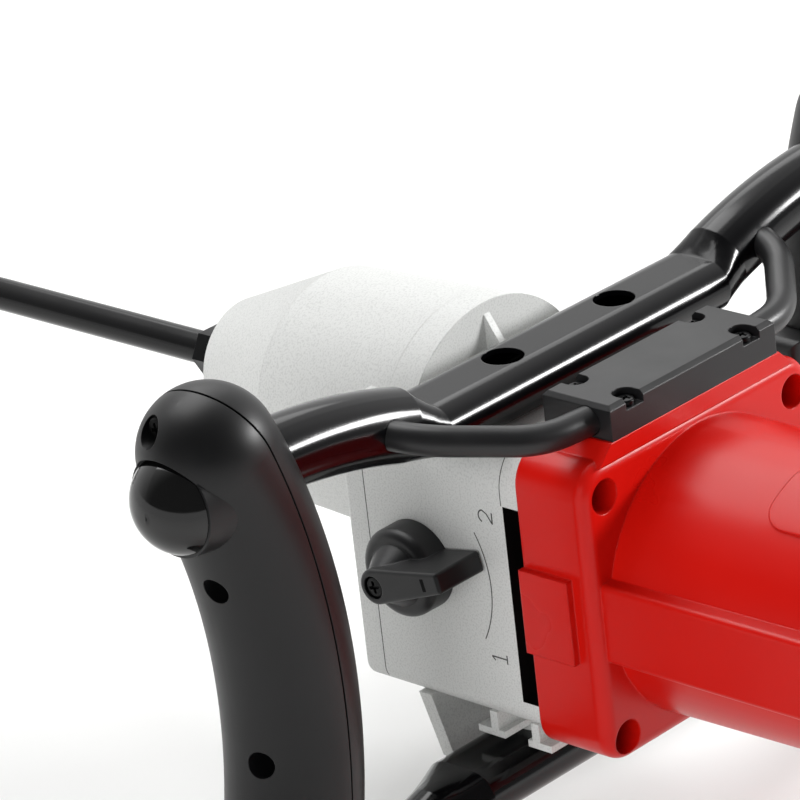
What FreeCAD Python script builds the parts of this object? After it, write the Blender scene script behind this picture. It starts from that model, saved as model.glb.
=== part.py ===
import FreeCAD, Part
import math
import os

V = FreeCAD.Vector

# Two-speed mixing drill: motor, gearbox, tube frame with two grips, and a screwed-in paddle.
# The spindle turns on the Y axis, +Y points to the paddle, X runs along the frame tubes, +Z is up.
# The origin lies on the spindle axis, in the plane of the gearbox barrel's rear shoulder.

# Fits
RUN = 0.05
SEAT = 0.02
SLIDE = 0.3
AXIAL_GAP = 1.0
END_GAP = 0.5
JOIN = 1.0

# Gear train: tooth counts, modules (mm) and profile shifts
BACKLASH = 0.12
PRESSURE = math.radians(20.0)
ROOT_DEPTH = 1.25
DRIVE_MODULE = 1.0
DRIVE_PINION_TEETH = 7
DRIVE_GEAR_TEETH = 38
DRIVE_SHIFT = 0.45
DRIVE_TIP_TRIM = 0.3
PINION_LEAD = 0.7
SPEED_MODULE = 1.25
SPEED_TEETH_SUM = 42
LOW_PINION_TEETH = 14
HIGH_PINION_TEETH = 18
SPEED_SHIFT = 0.15
FINAL_MODULE = 2.0
FINAL_PINION_TEETH = 10
OUTPUT_GEAR_TEETH = 36
FINAL_SHIFT = 0.35

# Widths along the shafts
OUTPUT_WIDTH = 8.0
HIGH_WIDTH = 6.0
LOW_WIDTH = 7.0
DRIVE_WIDTH = 6.5
COLLAR_LENGTH = 4.0
HUB_WIDTH = 7.0
HUB_GAP = 0.5
PLATE_THICK = 7.0
WEB_THICK = 7.0
FAN_ROOM = 12.5

# Shafts and bearings
LAYSHAFT_ANGLE = math.radians(284.0)
LAYSHAFT_R = 5.0
CLUTCH_SHAFT_R = 6.0
JOURNAL_R = 4.0
SMALL_BEARING_R = 9.5
SMALL_BEARING_W = 5.0
HUB_R = 11.0
SLEEVE_WALL = 3.4
SLEEVE_GROOVE_W = 3.4
SLEEVE_GROOVE_DEPTH = 1.7
SPINDLE_R = 10.0
SPINDLE_JOURNAL_R = 8.5
SPINDLE_REAR_BEARING_R = 13.0
SPINDLE_REAR_BEARING_W = 8.0
SPINDLE_BOSS_WALL = 4.0
SPINDLE_BOSS_BACK = 4.0
SPINDLE_MID_BEARING_R = 21.0
SPINDLE_MID_BEARING_W = 12.0
SPINDLE_FRONT_BEARING_R = 16.0
SPINDLE_FRONT_BEARING_W = 9.0
SEAL_R = 15.0
SEAL_W = 5.0
SEAL_BACK = 3.0
SHAFT_CLEARANCE = 2.0
COLLAR_FLATS = 17.0
COLLAR_GAP = 3.4
HEX_LENGTH = 17.0

# Gearbox
BLOCK_HALF_WIDTH = 56.0
BLOCK_TOP = 26.0
BLOCK_BOTTOM = -80.0
BLOCK_CORNER = 7.0
BLOCK_TOP_CORNER = 18.0
CAVITY_CORNER = 13.0
BLOCK_WALL = 5.0
BLOCK_TOP_WALL = 12.0
COVER_THICK = 10.0
COVER_EDGE = 2.0
COVER_SCREW_R = 2.5
COVER_SCREW_HEAD_R = 4.4
COVER_SCREW_HEAD_H = 5.0
COVER_SCREW_IN = 6.2
COVER_SCREW_DROP = 13.0
COVER_SCREW_BITE = 10.0
BARREL_LAP = 13.0
BARREL_R = 47.7
BARREL_FRONT_R = 44.0
BARREL_LENGTH = 76.0
BARREL_WALL = 5.0
BARREL_SHOULDER = 3.0
BARREL_BORE_R = 37.0
NOSE_LENGTH = 47.6
NOSE_R = 23.8
NOSE_SPIGOT = 4.0
VENT_LENGTH = 11.0
VENT_TOP = 3.5
VENT_BOTTOM = -70.0
FIN_THICK = 3.0
FIN_DEPTH = 12.0
FIN_TIP_DROP = 3.0
SKIRT_HEIGHT = 25.0
SKIRT_THICK = 5.8
SKIRT_Y = -8.0
SKIRT_LEAN = 4.0
SKIRT_TAPER = 4.5
RIB_WEB = 3.4
RIB_DROP = 8.5
RIB_FOOT_THICK = 2.6
RIB_IN = 2.0
FOOT_BOSS_SHARE = 2.4
FOOT_RIBS = ((-35.5, -40.0, -27.6), (-54.6, -61.5, -50.8))

# Motor
MOTOR_DROP = 30.5
MOTOR_R = 52.5
MOTOR_REAR_R = 50.5
MOTOR_LENGTH = 150.0
STATOR_R = 46.0
STATOR_LENGTH = 66.0
STATOR_BACK = 96.0
YOKE_THICK = 7.5
POLE_R = 27.6
POLE_HALF = math.radians(50.0)
COIL_SPREAD = math.radians(26.0)
COIL_MARGIN = math.radians(1.5)
COIL_GAP = 0.2
COIL_INSET = 1.5
COIL_END = 10.0
ARMATURE_R = 26.6
ARMATURE_SLOTS = 12
ARMATURE_SLOT_DEPTH = 9.0
ARMATURE_SLOT_W = 3.2
WINDING_INSET = 1.5
WINDING_SHOULDER = 5.0
WINDING_TAPER = 6.0
WINDING_END = 10.0
ARMATURE_SHAFT_R = 6.0
ARMATURE_JOURNAL_R = 5.0
ARMATURE_BEARING_R = 13.0
ARMATURE_BEARING_W = 6.5
COMMUTATOR_R = 16.0
COMMUTATOR_LENGTH = 24.0
COMMUTATOR_BACK = 126.0
FAN_R = 43.0
FAN_BLADES = 14
FAN_BLADE_ROOT_R = 16.0
FAN_BLADE_IN = 1.0
FAN_BLADE_THICK = 1.8
FAN_DISC = 1.8
FAN_HUB_WALL = 5.0
FAN_CLEARANCE = 3.0
FLANGE_THICK = 30.5
FLANGE_HALF_WIDTH = 60.0
FLANGE_UP = 57.0
FLANGE_DOWN = 53.6
FLANGE_CORNER = 12.0
FLANGE_EDGE = 5.0
FLANGE_SCREW_X = 49.7
FLANGE_SCREW_Z = 44.7
FLANGE_FLOOR = 12.0
COUNTERBORE_R = 6.2
MOTOR_SCREW_R = 3.0
MOTOR_SCREW_HEAD_R = 5.2
MOTOR_SCREW_HEAD_H = 5.5
MOTOR_SCREW_DEPTH = 9.0
PAD_RISE = 3.0
PAD_LENGTH = 21.5
PAD_UP = 16.0
PAD_DOWN = 15.0
BEAM_HALF_WIDTH = 56.0
BEAM_HALF_HEIGHT = 14.5
BEAM_ROOT_RISE = 0.6
BEAM_ROOT_IN = 10.0
BEAM_EDGE = 2.0
BEAM_SCREW_IN = 4.5
BEAM_SCREW_Z = 8.0
PANEL_RISE = 0.9
PANEL_BACK = 53.0
PANEL_LENGTH = 72.0
PANEL_CORNER = 9.0
PANEL_FROM = math.radians(97.0)
PANEL_TO = math.radians(130.0)
REAR_COVER_LENGTH = 38.0
REAR_COVER_WALL = 3.5
REAR_FACE_R = 34.0
REAR_SKIRT_SHARE = 0.45
REAR_SKIRT_DROP = 3.0
REAR_BOSS_WALL = 3.0
REAR_BOSS_LENGTH = 14.0
REAR_VENTS = 10
REAR_VENT_R = 18.5
REAR_VENT_MARGIN = 5.0
REAR_VENT_W = 4.0
BRUSH_BACK = 127.0
BRUSH_W = 6.0
BRUSH_H = 10.0
BRUSH_LENGTH = 20.0
BRUSH_HOLDER_WALL = 2.0
BRUSH_HOLDER_GAP = 3.0
BRUSH_CAP_R = 8.5
BRUSH_CAP_DEPTH = 4.0
BRUSH_CAP_RISE = 1.5
BRUSH_CAP_SLOT = 1.8
EAR_LENGTH = 12.0
EAR_SCREW_R = 2.0
EAR_SCREW_DEPTH = 12.0
EAR_SCREW_HEAD_R = 3.8
EAR_SCREW_HEAD_H = 3.0

# Junction box and hoses
BOX_HALF_WIDTH = 43.0
BOX_LENGTH = 30.0
BOX_HEIGHT = 12.5
BOX_NECK = 4.8
NECK_LEDGE = 1.0
NECK_SPREAD = 8.0
NECK_SINK = 2.0
WIRE_HOLE_HALF = 12.0
WIRE_HOLE_IN = 8.0
BOX_WALL = 2.5
BOX_END_WALL = 9.5
BOX_CHAMFER = 1.6
BOX_SCREW_X = 30.5
BOX_SCREW_IN = 4.2
BOX_SCREW_R = 1.8
BOX_SCREW_DEPTH = 9.0
BOX_SCREW_HEAD_R = 3.2
BOX_SCREW_HEAD_H = 2.2
BOX_NOTCH_R = 4.4
BOX_NOTCH_DEPTH = 4.0
TERMINAL_HALF_LENGTH = 20.0
TERMINAL_HALF_WIDTH = 5.0
TERMINAL_HEIGHT = 6.0
TERMINAL_FLOOR = 2.0
TERMINAL_HOLE_R = 1.6
TERMINAL_HOLES = (-14.0, -5.0, 5.0, 14.0)
HOSE_R = 5.3
HOSE_BORE_R = 3.3
HOSE_BEND_SHARE = 0.45
HOSE_POINTS = ((-40.0, -84.0, 36.9), (-63.0, -81.0, 36.6), (-92.0, -56.0, 42.6), (-99.5, -38.0, 45.2))

# Selector
SELECTOR_Z = -27.5
SELECTOR_OFFSET = 2.4
SELECTOR_STAND = 23.2
SELECTOR_BASE_R = 16.4
SELECTOR_BASE_H = 11.5
SELECTOR_BASE_EDGE = 3.5
SELECTOR_CROWN_R = 11.5
SELECTOR_CROWN_TOP_R = 6.0
SELECTOR_CROWN_DROP = 3.0
SELECTOR_HEAD_R = 6.5
SELECTOR_LEVER = 32.6
SELECTOR_TAPER = math.radians(5.0)
SELECTOR_LEVER_GAP = 1.2
SELECTOR_EDGE = 1.3
SELECTOR_REST = math.radians(15.5)
SELECTOR_SHAFT_R = 5.0
SELECTOR_SCREW_R = 2.0
SELECTOR_SCREW_HEAD_R = 3.9
SELECTOR_SCREW_HEAD_H = 2.0
SELECTOR_SCREW_SUNK = 2.4
SELECTOR_SCREW_BITE = 6.0
SELECTOR_CAP_WALL = 7.0
CRANK = 5.0
CRANK_PIN_R = 2.0
CRANK_DISC_R = 8.0
CRANK_DISC_THICK = 3.0
FORK_THICK = 2.8
FORK_ARM_THICK = 4.0
FORK_WALL = 2.2
FORK_RIM = 4.0
FORK_OPENING = 2.0
FORK_BRIDGE_SHARE = 0.8
FORK_BRIDGE_HALF = 5.0
SELECTOR_SWING = math.radians(42.0)
RAIL_R = 3.0
RAIL_X = -44.5
RAIL_Z = -56.0
RAIL_SEAT = 4.0
RAIL_END_GAP = 0.2

# Frame tubes and grips
FRAME_Y = -34.0
TUBE_R = 13.0
TUBE_WALL = 2.0
PRESSED_HEIGHT = 18.8
PRESSED_WIDTH = 32.0
PRESSED_HALF_LENGTH = 72.0
PRESS_RUNOUT = 12.0
RUNOUT_RISE = 5.0
FLARE = math.radians(18.5)
FLARE_BEND_R = 228.0
ROUND_SPLIT = math.radians(60.0)
TUBE_HALF_LENGTH = 186.0
LOWER_SEAT = -93.0
ACCESS_X = 29.0
ACCESS_R = 7.5
FRAME_BOLT_R = 4.0
FRAME_BOLT_DEPTH = 11.0
BOLT_HEAD_R = 6.5
BOLT_HEAD_H = 8.0
GRIP_INSET = 39.2
GRIP_LIFT = 2.6
GRIP_R = 23.4
GRIP_WALL = 4.0
GRIP_BOW_R = 221.0
GRIP_END_RISE = 94.8
PARTING_BOW_R = 280.0
PARTING_TURN = 7.0
GRIP_SEAM_W = 0.8
GRIP_SEAM_DEPTH = 1.0
GRIP_SCREWS = ((107.3, 6.0), (49.4, -3.5), (-15.8, -7.0), (-58.0, -4.0), (-108.0, 0.0))
GRIP_HOLE_R = 4.7
GRIP_HOLE_FLOOR = 6.0
GRIP_POST_R = 7.5
GRIP_SCREW_R = 2.0
GRIP_SCREW_HEAD_R = 3.8
GRIP_SCREW_HEAD_H = 3.0
GRIP_SCREW_BITE = 9.0
CAP_R = 17.0
CAP_HEIGHT = 11.5
CAP_SPIGOT = 10.0
CAP_SEAT = 1.0
BOSS_R = 17.8
BOSS_ROOT_R = 21.0

# Switch in the right grip
TRIGGER_HEIGHT = 56.0
TRIGGER_HALF_WIDTH = 7.5
TRIGGER_REACH = 10.0
TRIGGER_TRAVEL = 6.0
TRIGGER_FLANGE = 3.0
TRIGGER_FLANGE_IN = 5.0
TRIGGER_FLANGE_LIP = 2.5
TRIGGER_SLOT_REACH = 6.0
TRIGGER_ROOT = 1.5
TRIGGER_EDGE = 4.0
TRIGGER_DENT = 3.0
TRIGGER_DENT_R = 70.0
SWITCH_HEIGHT = 60.0
SWITCH_HALF_WIDTH = 12.0
LOCK_R = 4.5
LOCK_RISE = 3.0
LOCK_INSET = 9.0
LOCK_HEIGHT = 36.0
LOCK_LENGTH = 14.0
LOCK_EDGE = 1.0
GLAND_R = 9.0
GLAND_BORE_R = 4.5
GLAND_LENGTH = 16.0
GLAND_DEPTH = 8.0
GLAND_EDGE = 2.0

# Paddle
ROD_R = 6.25
ROD_DEPTH = 14.0
ROD_REACH = 568.0
ROD_EDGE = 1.5
PADDLE_R = 60.0
PADDLE_LENGTH = 200.0
BLADE_WIDTH = 22.0
BLADE_THICK = 5.0
BLADE_TWIST = math.radians(180.0)
BLADE_STATIONS = 9
RING_HEIGHT = 8.0
RING_WALL = 6.0
SPOKE_WIDTH = 10.0
PADDLE_HUB_R = 11.0

# Places along the spindle, counted back from the barrel's seam
SEAM_Y = BARREL_LAP
COVER_FRONT_Y = SEAM_Y + COVER_THICK
OUTPUT_Y1 = SEAM_Y - AXIAL_GAP
OUTPUT_Y0 = OUTPUT_Y1 - OUTPUT_WIDTH
HIGH_Y1 = OUTPUT_Y0 - 2 * AXIAL_GAP
HIGH_Y0 = HIGH_Y1 - HIGH_WIDTH
HUB_Y1 = HIGH_Y0 - COLLAR_LENGTH - HUB_GAP
HUB_Y0 = HUB_Y1 - HUB_WIDTH
LOW_Y1 = HUB_Y0 - HUB_GAP - COLLAR_LENGTH
LOW_Y0 = LOW_Y1 - LOW_WIDTH
PLATE_Y1 = LOW_Y0 - AXIAL_GAP
PLATE_Y0 = PLATE_Y1 - PLATE_THICK
DRIVE_Y1 = PLATE_Y0 - AXIAL_GAP
DRIVE_Y0 = DRIVE_Y1 - DRIVE_WIDTH
WEB_Y1 = DRIVE_Y0 - 1.5 * AXIAL_GAP
WEB_Y0 = WEB_Y1 - WEB_THICK
BLOCK_REAR_Y = WEB_Y0 - FAN_ROOM
FLANGE_BACK_Y = BLOCK_REAR_Y - FLANGE_THICK
MOTOR_BACK_Y = FLANGE_BACK_Y - MOTOR_LENGTH
REAR_FACE_Y = MOTOR_BACK_Y - REAR_COVER_LENGTH
NOSE_FRONT_Y = BARREL_LENGTH + NOSE_LENGTH
FRONT_BEARING_END = NOSE_FRONT_Y - SEAL_W - SEAL_BACK
COLLAR_BACK_Y = NOSE_FRONT_Y + COLLAR_GAP
COLLAR_FRONT_Y = COLLAR_BACK_Y + HEX_LENGTH
PADDLE_TIP_Y = COLLAR_FRONT_Y + ROD_REACH

# Shaft axes, as (x, z)
SPINDLE_AXIS = (0.0, 0.0)
MOTOR_AXIS = (0.0, -MOTOR_DROP)
DRIVE_CENTRES = DRIVE_MODULE * (DRIVE_PINION_TEETH + DRIVE_GEAR_TEETH) / 2
SPEED_CENTRES = SPEED_MODULE * SPEED_TEETH_SUM / 2
FINAL_CENTRES = FINAL_MODULE * (FINAL_PINION_TEETH + OUTPUT_GEAR_TEETH) / 2
LAYSHAFT_AXIS = (
    DRIVE_CENTRES * math.cos(LAYSHAFT_ANGLE),
    -MOTOR_DROP + DRIVE_CENTRES * math.sin(LAYSHAFT_ANGLE),
)


def meeting_axis(first, first_gap, second, second_gap):
    """The axis at given centre distances from two others, on the left of the line between them."""
    dx = second[0] - first[0]
    dz = second[1] - first[1]
    span = math.hypot(dx, dz)
    along = (first_gap ** 2 - second_gap ** 2 + span ** 2) / (2 * span)
    aside = math.sqrt(first_gap ** 2 - along ** 2)
    ux = dx / span
    uz = dz / span
    return (first[0] + along * ux + aside * uz, first[1] + along * uz - aside * ux)


CLUTCH_AXIS = meeting_axis(SPINDLE_AXIS, FINAL_CENTRES, LAYSHAFT_AXIS, SPEED_CENTRES)

# Selector, frame and grip places worked out from the sizes above
HUB_MID_Y = (HUB_Y0 + HUB_Y1) / 2
SELECTOR_Y = HUB_MID_Y + SELECTOR_OFFSET
SELECTOR_SHAFT_X = -BLOCK_HALF_WIDTH - SELECTOR_STAND + SELECTOR_CAP_WALL
FORK_REST_Y = HUB_MID_Y + CRANK * math.sin(SELECTOR_REST)
UPPER_SEAT = BLOCK_TOP
FRAME_MID = (UPPER_SEAT + LOWER_SEAT) / 2
TUBE_MID_RISE = UPPER_SEAT + PRESSED_HEIGHT / 2 - FRAME_MID
TUBE_END_RISE = TUBE_MID_RISE + RUNOUT_RISE + FLARE_BEND_R * (1 - math.cos(FLARE))
GRIP_X = TUBE_HALF_LENGTH - GRIP_INSET
GRIP_MID = FRAME_MID + GRIP_LIFT
BOW_CENTRE_X = GRIP_X + GRIP_BOW_R
BOSS_X = TUBE_HALF_LENGTH + CAP_SEAT
BOX_BOTTOM = -MOTOR_DROP + FLANGE_UP + BOX_NECK
BOX_TOP = BOX_BOTTOM + BOX_HEIGHT
BOX_BACK_Y = FLANGE_BACK_Y
BOX_FRONT_Y = FLANGE_BACK_Y + BOX_LENGTH
BEAM_SCREW_X = BEAM_HALF_WIDTH - BEAM_SCREW_IN
TRIGGER_Z = GRIP_MID
PADDLE_TOP_Y = PADDLE_TIP_Y - PADDLE_LENGTH


def box(x0, x1, y0, y1, z0, z1):
    return Part.makeBox(x1 - x0, y1 - y0, z1 - z0, V(x0, y0, z0))


def cyl_x(radius, x0, x1, y, z):
    return Part.makeCylinder(radius, x1 - x0, V(x0, y, z), V(1, 0, 0))


def cyl_y(radius, y0, y1, axis=SPINDLE_AXIS):
    return Part.makeCylinder(radius, y1 - y0, V(axis[0], y0, axis[1]), V(0, 1, 0))


def cyl_z(radius, z0, z1, x, y):
    return Part.makeCylinder(radius, z1 - z0, V(x, y, z0), V(0, 0, 1))


def cone_y(r0, r1, y0, y1, axis=SPINDLE_AXIS):
    return Part.makeCone(r0, r1, y1 - y0, V(axis[0], y0, axis[1]), V(0, 1, 0))


def ring_y(outer, inner, y0, y1, axis=SPINDLE_AXIS):
    return cyl_y(outer, y0, y1, axis).cut(cyl_y(inner, y0, y1, axis))


def turned(profile, axis=SPINDLE_AXIS):
    """A turned piece: a closed outline of (radius, y) points spun about an axis along Y."""
    points = [V(axis[0] + r, y, axis[1]) for r, y in profile]
    face = Part.Face(Part.makePolygon(points + points[:1]))
    return face.revolve(V(axis[0], 0, axis[1]), V(0, 1, 0), 360)


def prism_y(points, y0, y1):
    """A straight-sided bar: a closed outline of (x, z) points carried from y0 to y1."""
    corners = [V(x, y0, z) for x, z in points]
    return Part.Face(Part.makePolygon(corners + corners[:1])).extrude(V(0, y1 - y0, 0))


def prism_x(points, x0, x1):
    """A straight-sided bar: a closed outline of (y, z) points carried from x0 to x1."""
    corners = [V(x0, y, z) for y, z in points]
    return Part.Face(Part.makePolygon(corners + corners[:1])).extrude(V(x1 - x0, 0, 0))


def rounded_block(half_width, z0, z1, y0, y1, corner):
    """A block whose four edges along Y are rounded."""
    block = box(-half_width, half_width, y0, y1, z0, z1)
    edges = [e for e in block.Edges if abs(e.Vertexes[0].Y - e.Vertexes[1].Y) > 0.5 * (y1 - y0)]
    return block.makeFillet(corner, edges)


def sector_y(outer, inner, y0, y1, axis, start, end):
    """The part of a ring about a Y axis between two angles, counted from +X towards +Z."""
    points = [
        V(axis[0] + r * math.cos(a), y0, axis[1] + r * math.sin(a))
        for r, a in ((inner, start), (outer, start), (outer, end), (inner, end))
    ]
    middle = (start + end) / 2
    rim = [V(axis[0] + r * math.cos(middle), y0, axis[1] + r * math.sin(middle)) for r in (outer, inner)]
    edges = [
        Part.LineSegment(points[0], points[1]).toShape(),
        Part.Arc(points[1], rim[0], points[2]).toShape(),
        Part.LineSegment(points[2], points[3]).toShape(),
        Part.Arc(points[3], rim[1], points[0]).toShape(),
    ]
    return Part.Face(Part.Wire(edges)).extrude(V(0, y1 - y0, 0))


def both_sides(shape):
    """A piece and its mirror image on the other side of the drill."""
    return [shape, shape.mirror(V(0, 0, 0), V(1, 0, 0))]


def upside_down(shape):
    """The mirror image of a piece in the frame's middle plane."""
    return shape.mirror(V(0, 0, FRAME_MID), V(0, 0, 1))


def line_angle(axis, other):
    return math.atan2(other[1] - axis[1], other[0] - axis[0])


def gear(axis, teeth, module, shift, y0, y1, mate, leads, trim=0.0):
    """A spur gear: involute flanks drawn straight from root to tip, one tooth or gap set at its mate."""
    pitch_r = teeth * module / 2
    tip_r = pitch_r + module * (1 + shift - trim)
    root_r = pitch_r - module * (ROOT_DEPTH - shift)
    base_r = pitch_r * math.cos(PRESSURE)
    half = (math.pi / 2 + 2 * shift * math.tan(PRESSURE)) / teeth - BACKLASH / (2 * pitch_r)
    widest = half + math.tan(PRESSURE) - PRESSURE

    def half_tooth(radius):
        lean = math.acos(min(1.0, base_r / radius))
        return widest - (math.tan(lean) - lean)

    first = line_angle(axis, mate) + (0 if leads else math.pi / teeth)
    points = []
    for tooth in range(teeth):
        centre = first + 2 * math.pi * tooth / teeth
        for radius, turn in ((root_r, -1), (tip_r, -1), (tip_r, 1), (root_r, 1)):
            angle = centre + turn * half_tooth(max(radius, base_r))
            points.append((axis[0] + radius * math.cos(angle), axis[1] + radius * math.sin(angle)))
    return prism_y(points, y0, y1)


def barrel_radius(y):
    return BARREL_R - (BARREL_R - BARREL_FRONT_R) * y / BARREL_LENGTH


def screw_y(y_seat, y_end, x, z, shank_r, head_r, head_h):
    """A cap screw along Y, its head on the seat's far side from the shank."""
    out = -1 if y_end > y_seat else 1
    head = Part.makeCylinder(head_r, head_h, V(x, y_seat, z), V(0, out, 0))
    shank = Part.makeCylinder(shank_r, abs(y_end - y_seat), V(x, y_seat, z), V(0, -out, 0))
    return head.fuse(shank)


# Motor pieces

FLANGE_SCREWS = [
    (sx * FLANGE_SCREW_X, -MOTOR_DROP + sz * FLANGE_SCREW_Z) for sx in (-1, 1) for sz in (-1, 1)
]
MOTOR_SCREW_SEAT_Y = BLOCK_REAR_Y - FLANGE_FLOOR
BEAM_SCREWS = [
    (sx * BEAM_SCREW_X, -MOTOR_DROP + sz * BEAM_SCREW_Z) for sx in (-1, 1) for sz in (-1, 1)
]
BRUSH_Y = FLANGE_BACK_Y - BRUSH_BACK
BRUSH_HOLDER_H = BRUSH_H + 2 * BRUSH_HOLDER_WALL
BRUSH_HOLDER_W = BRUSH_W + 2 * BRUSH_HOLDER_WALL


def beam(y0, y1):
    """The bar with sloping shoulders and rounded edges that stands out on both sides of the motor."""
    root = BEAM_HALF_WIDTH - BEAM_ROOT_IN
    low = BEAM_HALF_HEIGHT
    high = BEAM_HALF_HEIGHT + BEAM_ROOT_RISE
    outline = [
        (-BEAM_HALF_WIDTH, -low), (-BEAM_HALF_WIDTH, low), (-root, high), (root, high),
        (BEAM_HALF_WIDTH, low), (BEAM_HALF_WIDTH, -low), (root, -high), (-root, -high),
    ]
    bar = prism_y([(x, z - MOTOR_DROP) for x, z in outline], y0, y1)
    along = [e for e in bar.Edges if e.BoundBox.YLength > 0.9 * (y1 - y0)]
    return bar.makeFillet(BEAM_EDGE, [e for e in along if abs(e.CenterOfMass.x) > BEAM_HALF_WIDTH - 0.1])


def motor_housing():
    flange = rounded_block(
        FLANGE_HALF_WIDTH, -MOTOR_DROP - FLANGE_DOWN, -MOTOR_DROP + FLANGE_UP,
        FLANGE_BACK_Y, BLOCK_REAR_Y, FLANGE_CORNER,
    )
    back = [e for e in flange.Edges if e.BoundBox.YMax < FLANGE_BACK_Y + 0.01]
    flange = flange.makeFillet(FLANGE_EDGE, back)
    neck_top = BOX_HALF_WIDTH + NECK_LEDGE
    neck_root = BOX_HALF_WIDTH + NECK_SPREAD
    neck_low = BOX_BOTTOM - BOX_NECK - NECK_SINK
    neck = prism_y(
        [(-neck_root, neck_low), (-neck_top, BOX_BOTTOM), (neck_top, BOX_BOTTOM), (neck_root, neck_low)],
        BOX_BACK_Y, BOX_FRONT_Y,
    )
    body = cone_y(MOTOR_REAR_R, MOTOR_R, MOTOR_BACK_Y, FLANGE_BACK_Y + FLANGE_EDGE, MOTOR_AXIS)
    pads = both_sides(box(
        -FLANGE_HALF_WIDTH - PAD_RISE, -FLANGE_HALF_WIDTH + JOIN,
        BLOCK_REAR_Y - PAD_LENGTH, BLOCK_REAR_Y,
        -MOTOR_DROP - PAD_DOWN, -MOTOR_DROP + PAD_UP,
    ))
    panel_y = FLANGE_BACK_Y - PANEL_BACK
    panel_r = MOTOR_R - (MOTOR_R - MOTOR_REAR_R) * PANEL_BACK / MOTOR_LENGTH + PANEL_RISE
    panel = sector_y(
        panel_r, STATOR_R + PANEL_RISE, panel_y - PANEL_LENGTH, panel_y, MOTOR_AXIS, PANEL_FROM, PANEL_TO,
    )
    spokes_out = [e for e in panel.Edges if isinstance(e.Curve, Part.Line) and e.BoundBox.YLength < 0.1]
    panel = panel.makeFillet(PANEL_CORNER, spokes_out)
    side_bar = beam(MOTOR_BACK_Y, FLANGE_BACK_Y + FLANGE_EDGE)
    shape = flange.fuse([neck, body, side_bar] + pads + both_sides(panel))
    shape = shape.cut(cyl_y(STATOR_R + SEAT, MOTOR_BACK_Y, BLOCK_REAR_Y, MOTOR_AXIS))
    tools = []
    for x, z in FLANGE_SCREWS:
        tools.append(cyl_y(COUNTERBORE_R, FLANGE_BACK_Y - JOIN, MOTOR_SCREW_SEAT_Y, (x, z)))
        tools.append(cyl_y(MOTOR_SCREW_R + SEAT, MOTOR_SCREW_SEAT_Y, BLOCK_REAR_Y, (x, z)))
    for x, z in BEAM_SCREWS:
        tools.append(cyl_y(EAR_SCREW_R, MOTOR_BACK_Y, MOTOR_BACK_Y + EAR_SCREW_DEPTH, (x, z)))
    for x in (-BOX_SCREW_X, BOX_SCREW_X):
        for y in (BOX_BACK_Y + BOX_SCREW_IN, BOX_FRONT_Y - BOX_SCREW_IN):
            tools.append(cyl_z(BOX_SCREW_R, BOX_BOTTOM - BOX_SCREW_DEPTH, BOX_BOTTOM, x, y))
    holder_w = BRUSH_HOLDER_W / 2 + SEAT
    holder_h = BRUSH_HOLDER_H / 2 + SEAT
    tools.append(box(
        -BEAM_HALF_WIDTH, BEAM_HALF_WIDTH, BRUSH_Y - holder_w, BRUSH_Y + holder_w,
        -MOTOR_DROP - holder_h, -MOTOR_DROP + holder_h,
    ))
    cap_floor = BEAM_HALF_WIDTH - BRUSH_CAP_DEPTH
    for x0, x1 in ((-BEAM_HALF_WIDTH, -cap_floor), (cap_floor, BEAM_HALF_WIDTH)):
        tools.append(cyl_x(BRUSH_CAP_R + SEAT, x0, x1, BRUSH_Y, -MOTOR_DROP))
    tools.append(box(
        -WIRE_HOLE_HALF, WIRE_HOLE_HALF,
        BOX_BACK_Y + WIRE_HOLE_IN, BOX_FRONT_Y - WIRE_HOLE_IN, 0.0, BOX_BOTTOM,
    ))
    return shape.cut(tools)


def motor_screws():
    length = BLOCK_REAR_Y + MOTOR_SCREW_DEPTH
    return [
        screw_y(MOTOR_SCREW_SEAT_Y, length, x, z, MOTOR_SCREW_R, MOTOR_SCREW_HEAD_R, MOTOR_SCREW_HEAD_H)
        for x, z in FLANGE_SCREWS
    ]


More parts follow.
